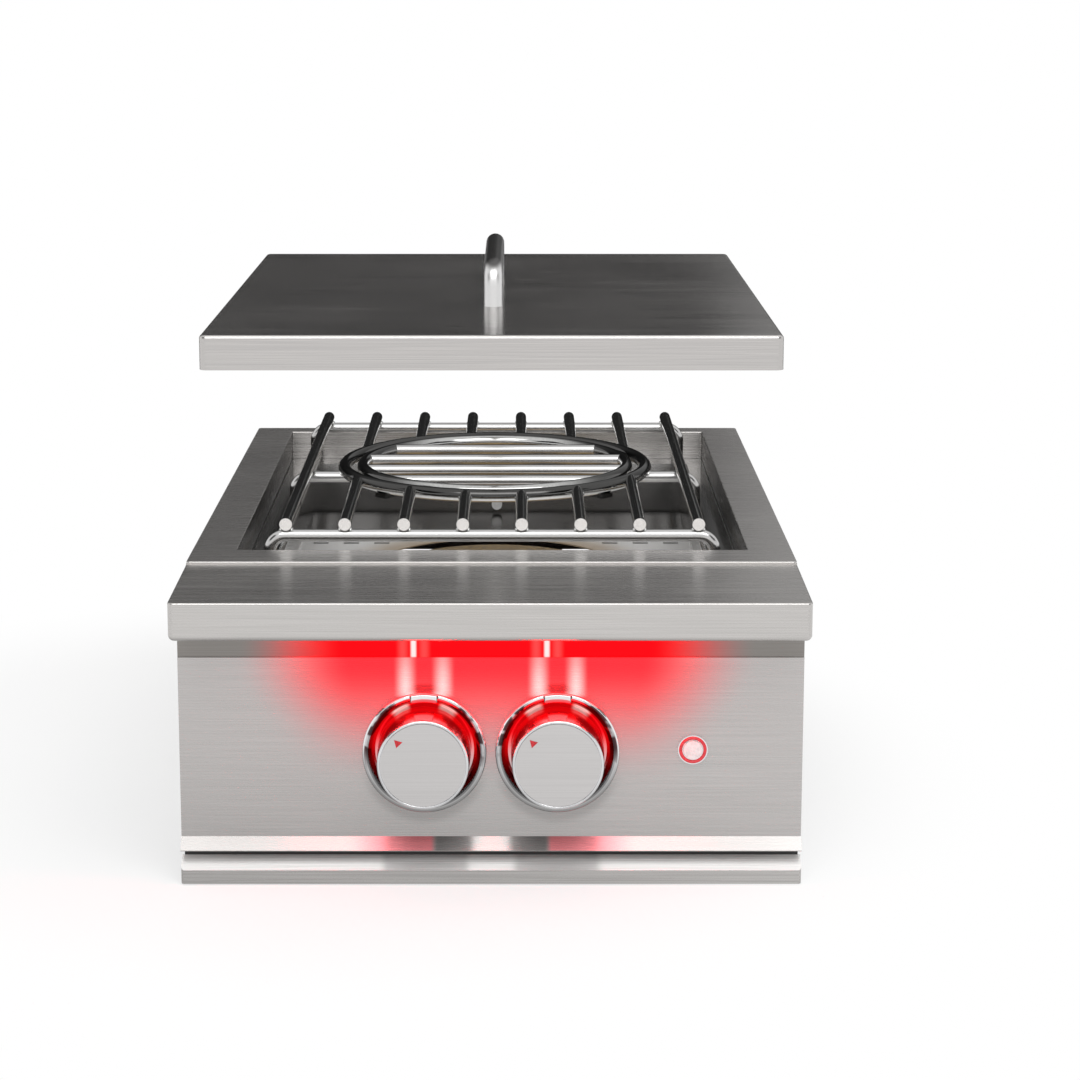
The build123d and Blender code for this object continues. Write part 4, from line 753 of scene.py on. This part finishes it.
# Grate and wok insert: round stainless bar, bent, polished and welded. The rods lie on two bent crossbars
# and are let into the ring; every joint has a small weld bead on each side. The rods' end faces are painted
# pale as a highlight, and the rings are painted black on their upper faces as a dark reflection.
POLISHED = dict(dark=(0.60, 0.60, 0.59), light=(0.68, 0.68, 0.67), rough=0.11, spots=500.0, depth=0.00001)
END_FACE_HIGHLIGHT = (0.93, 0.92, 0.91)
END_FACE_HIGHLIGHT_FACING = (0.97, 0.995)
DARK_REFLECTION = (0.02, 0.019, 0.018)
RING_DARK_MOST = 0.94
RING_DARK_UP = (-0.35, 0.15)
INSERT_DARK_MOST = 0.9
INSERT_DARK_UP = (0.0, 0.45)
INSERT_DARK_X = (0.25, 1.0, 0.045, 0.095)
RODS = 8
ROD_PITCH = 0.0466
CROSSBAR_Y = (-0.169, 0.309)
CROSSBAR_BEAD_X = 0.0042
CROSSBAR_BEAD_Z = 0.2468
CROSSBAR_BEAD_HALF = (0.0016, 0.0034, 0.0014)
RING_R = 0.132
RING_BEAD_X = 0.0046
RING_BEAD_OUT = 0.0045
RING_BEAD_Z = 0.2500
RING_BEAD_HALF = (0.0014, 0.0030, 0.0022)
BEAD_ROWS = 9
BEAD_STEPS = 14
BEAD_RIPPLES = 9
RIPPLE_PART = 12
BOTH_WAYS = (-1, 1)


def beads(centres, half):
    """Weld beads: balls stretched to the half sizes, each with ripples of a twelfth of its height along its
    length, by the sine of nine times its place there."""
    rise = np.linspace(-np.pi / 2, np.pi / 2, BEAD_ROWS)
    round_about = np.linspace(0, 2 * np.pi, BEAD_STEPS, endpoint=False)
    up, turn = np.meshgrid(rise, round_about, indexing="ij")
    ball = np.stack([np.cos(up) * np.cos(turn), np.cos(up) * np.sin(turn), np.sin(up)], -1)
    ball = ball * (1 + np.sin(BEAD_RIPPLES * ball[..., 1:2]) / RIPPLE_PART)
    return [np.array(c) + np.array(half) * ball for c in centres]


rod_steel, tree, shader, steel = speckled("polished_rod", **POLISHED)
# The rods' end faces are painted pale as a highlight
cut = rising(tree, apart(tree, facing(tree)[1]), *END_FACE_HIGHLIGHT_FACING)
tree.links.new(layered(tree, steel, (cut, END_FACE_HIGHLIGHT)), shader.inputs["Base Color"])
wear(rod_steel, "grate_rods", "grate_rails")
bar_steel = grained(
    "satin_bar", dark=(0.50, 0.495, 0.49), light=(0.57, 0.565, 0.56),
    rough=0.20, along=LEFT_TO_RIGHT, pull=0.0)[0]
wear(bar_steel, "grate_crossbars", "insert_bars")
ring_steel, tree, shader, steel = speckled(
    "reflection_painted_ring", dark=(0.84, 0.84, 0.83), light=(0.92, 0.92, 0.91),
    rough=0.11, spots=500.0, depth=0.00001)
# The wok ring is painted black on its upper faces as a dark reflection
dark_above = rising(tree, facing(tree)[2], *RING_DARK_UP, most=RING_DARK_MOST)
tree.links.new(layered(tree, steel, (dark_above, DARK_REFLECTION)), shader.inputs["Base Color"])
wear(ring_steel, "wok_ring")
inner_steel, tree, shader, steel = speckled("reflection_painted_insert", **POLISHED)
# The insert ring is painted black on its upper faces towards its sides, as a dark reflection
dark_above = rising(tree, facing(tree)[2], *INSERT_DARK_UP, most=INSERT_DARK_MOST)
dark_above = both(tree, dark_above, between(tree, apart(tree, where(tree)[0]), *INSERT_DARK_X))
tree.links.new(layered(tree, steel, (dark_above, DARK_REFLECTION)), shader.inputs["Base Color"])
wear(inner_steel, "insert_ring")

rod_x = (np.arange(RODS) - (RODS - 1) / 2) * ROD_PITCH
crossbar_joints = [
    (x + s * CROSSBAR_BEAD_X, y, CROSSBAR_BEAD_Z)
    for x in rod_x for y in CROSSBAR_Y for s in BOTH_WAYS
]
made("crossbar_welds", beads(crossbar_joints, CROSSBAR_BEAD_HALF), rod_steel, "grate", "rod_steel")
ring_rods = [(x, np.sqrt(RING_R ** 2 - x ** 2) + RING_BEAD_OUT) for x in rod_x[1:-1]]
ring_joints = [
    (x + s * RING_BEAD_X, BURNER_Y + t * out, RING_BEAD_Z)
    for x, out in ring_rods for t in BOTH_WAYS for s in BOTH_WAYS
]
made("ring_welds", beads(ring_joints, RING_BEAD_HALF), rod_steel, "grate", "rod_steel")

# Lid: one stainless sheet, brushed, folded and welded at the corners, with a bent bar handle screwed on from
# inside. It isn't mirrored in the grate and throws no shade on it, because it is shown lifted off.
FRONT_TO_BACK = (0, 1, 0)
LID_EDGE = (0.8, 0.95)
LID_EDGE_METAL = 0.3
HANDLE_DARK_REFLECTION = (0.12, 0.117, 0.115)
HANDLE_UP = (0.45, 0.8)

lid_sheet, tree, shader, steel = grained(
    "brushed_lid", dark=(0.50, 0.485, 0.475), light=(0.57, 0.55, 0.535),
    rough=0.20, along=LEFT_TO_RIGHT, pull=0.8)
to_side, to_back, _ = facing(tree)
edge = calc(tree, "MAXIMUM", apart(tree, to_side), to_back)
tree.links.new(between(tree, edge, 1.0, LID_EDGE_METAL, *LID_EDGE), shader.inputs["Metallic"])
wear(lid_sheet, "lid_shell")
node["lid_shell"].visible_glossy = False
node["lid_shell"].visible_diffuse = False
node["lid_shell"].visible_shadow = False
handle_steel, tree, shader, steel = grained(
    "satin_handle", dark=(0.68, 0.675, 0.67), light=(0.74, 0.735, 0.73),
    rough=0.36, along=FRONT_TO_BACK, pull=0.2)
# The handle's upper faces are painted dark as a reflection
topside = rising(tree, facing(tree)[2], *HANDLE_UP)
tree.links.new(layered(tree, steel, (topside, HANDLE_DARK_REFLECTION)), shader.inputs["Base Color"])
wear(handle_steel, "lid_handle")

# Studio: white floor and surroundings. A black card far behind and on the floor behind the burner, and one
# high at each side, are seen only in reflections and darken the steel's upper faces. A large soft lamp hangs
# in front, and a thin red one under the bullnose stands for the light bar's lamps.
WHITE = (1, 1, 1, 1)
FLOOR_GREY = (0.45, 0.45, 0.45, 1)
FLOOR_LIFT = 0.53
FLOOR_LEFTWARDS = 0.17
FLOOR_FADE = (0.36, 0.62)
FLOOR_DARK_MOST = 0.42
FLOOR_DARK = (0.26, 0.74)
AMBIENT = 0.7
BACKGROUND = 1.0
CARD_STRENGTH = (0.020, 0.62)
CARD_Z = (1.8, 14.0)
CARD_PALER_MOST = 0.34
CARD_PALER_X = (0.70, 1.05)
CARD_PALER_Z = (1.5, 2.3)
CARDS = (
    ("back_card", [(-9, 8, 0.02), (9, 8, 0.02), (9, 8, 15.0), (-9, 8, 15.0)]),
    ("floor_card", [(-3, 1.2, 0.02), (3, 1.2, 0.02), (9, 8, 0.02), (-9, 8, 0.02)]),
    ("left_card", [(-1.9, -1.9, 0.9), (-1.9, -0.5, 0.9), (-1.5, -0.5, 1.8), (-1.5, -1.9, 1.8)]),
    ("right_card", [(1.9, -1.9, 0.9), (1.9, -0.5, 0.9), (1.5, -0.5, 1.8), (1.5, -1.9, 1.8)]),
)
KEY_AIM = Vector((0, 0, 0.2))
BAR_RED = (1.0, 0.03, 0.03)


def card(name, corners, mat):
    """A flat card from its corners, not part of the object."""
    mesh = bpy.data.meshes.new(name)
    mesh.from_pydata(corners, [], [tuple(range(len(corners)))])
    mesh.materials.append(mat)
    obj = bpy.data.objects.new(name, mesh)
    bpy.context.scene.collection.objects.link(obj)
    return obj


def seen_directly(tree):
    """1 for camera, glossy and transmission rays, else 0."""
    path = tree.nodes.new("ShaderNodeLightPath")
    shown = calc(tree, "MAXIMUM", path.outputs["Is Camera Ray"], path.outputs["Is Glossy Ray"])
    return calc(tree, "MAXIMUM", shown, path.outputs["Is Transmission Ray"])


def soft_lamp(name, energy, wide, high, place, colour=(1, 1, 1)):
    """A soft oblong lamp at that place, shining straight down."""
    light = bpy.data.lights.new(name, "AREA")
    light.energy = energy
    light.color = colour
    light.shape = "RECTANGLE"
    light.size = wide
    light.size_y = high
    obj = bpy.data.objects.new(name, light)
    obj.location = place
    bpy.context.scene.collection.objects.link(obj)
    return obj


# Surroundings
world = bpy.data.worlds.new("studio")
bpy.context.scene.world = world
tree, surface = emptied(world, "ShaderNodeOutputWorld")
mix = tree.nodes.new("ShaderNodeMixShader")
tree.links.new(seen_directly(tree), mix.inputs["Fac"])
for place, strength in ((mix.inputs[1], AMBIENT), (mix.inputs[2], BACKGROUND)):
    sky = tree.nodes.new("ShaderNodeBackground")
    sky.inputs["Color"].default_value = WHITE
    sky.inputs["Strength"].default_value = strength
    tree.links.new(sky.outputs[0], place)
tree.links.new(mix.outputs[0], surface)

# Floor: grey and shaded near the burner, white further out, darker under it in reflections
pale_floor = bpy.data.materials.new("pale_floor")
tree, surface = emptied(pale_floor, "ShaderNodeOutputMaterial")
shaded = tree.nodes.new("ShaderNodeBsdfDiffuse")
shaded.inputs["Color"].default_value = FLOOR_GREY
lift = tree.nodes.new("ShaderNodeEmission")
lift.inputs["Strength"].default_value = FLOOR_LIFT
near = tree.nodes.new("ShaderNodeAddShader")
tree.links.new(shaded.outputs[0], near.inputs[0])
tree.links.new(lift.outputs[0], near.inputs[1])
x, y, _ = where(tree)
away = distance(tree, calc(tree, "ADD", x, FLOOR_LEFTWARDS), y)
fade = both(tree, rising(tree, away, *FLOOR_FADE), seen_directly(tree))
mirrored = tree.nodes.new("ShaderNodeLightPath").outputs["Is Glossy Ray"]
darker = both(tree, mirrored, falling(tree, away, *FLOOR_DARK, most=FLOOR_DARK_MOST))
far = tree.nodes.new("ShaderNodeEmission")
tree.links.new(calc(tree, "SUBTRACT", 1.0, darker), far.inputs["Strength"])
mix = tree.nodes.new("ShaderNodeMixShader")
tree.links.new(calc(tree, "MAXIMUM", fade, mirrored), mix.inputs["Fac"])
tree.links.new(near.outputs[0], mix.inputs[1])
tree.links.new(far.outputs[0], mix.inputs[2])
tree.links.new(mix.outputs[0], surface)
card("floor", [(-12, -12, 0), (12, -12, 0), (12, 12, 0), (-12, 12, 0)], pale_floor)

# Cards: black below, paler upwards and at the upper right
graded = bpy.data.materials.new("graded_card")
tree, surface = emptied(graded, "ShaderNodeOutputMaterial")
x, _, z = where(tree)
paler = both(tree, rising(tree, x, *CARD_PALER_X, most=CARD_PALER_MOST), rising(tree, z, *CARD_PALER_Z))
sheen = tree.nodes.new("ShaderNodeEmission")
tree.links.new(calc(tree, "ADD", between(tree, z, *CARD_STRENGTH, *CARD_Z), paler), sheen.inputs["Strength"])
tree.links.new(sheen.outputs[0], surface)
for name, corners in CARDS:
    flag = card(name, corners, graded)
    flag.visible_camera = False
    flag.visible_diffuse = False
    flag.visible_shadow = False

# Lamps
key = soft_lamp("key", energy=46, wide=3.0, high=1.6, place=(0.25, -1.9, 2.5))
key.rotation_euler = (KEY_AIM - key.location).to_track_quat("-Z", "Y").to_euler()
soft_lamp("light_bar", energy=0.25, wide=0.32, high=0.010, place=(0, -0.317, 0.2025), colour=BAR_RED)

# Camera: a long lens in front of the burner, a little above it, turned down by some ten degrees.
# It is shifted by a tenth of the frame, so that upright lines stay nearly parallel.
DOWNWARDS = 10.35
lens = bpy.data.cameras.new("camera")
lens.sensor_width = 36
lens.lens = 87.16
lens.shift_x = 0.0209
lens.shift_y = -0.10
camera = bpy.data.objects.new("camera", lens)
camera.location = (0.0199, -2.1913, 0.6942)
camera.rotation_euler = (math.radians(90 - DOWNWARDS), 0, 0)
bpy.context.scene.collection.objects.link(camera)
bpy.context.scene.camera = camera
bpy.context.scene.view_settings.view_transform = "Standard"
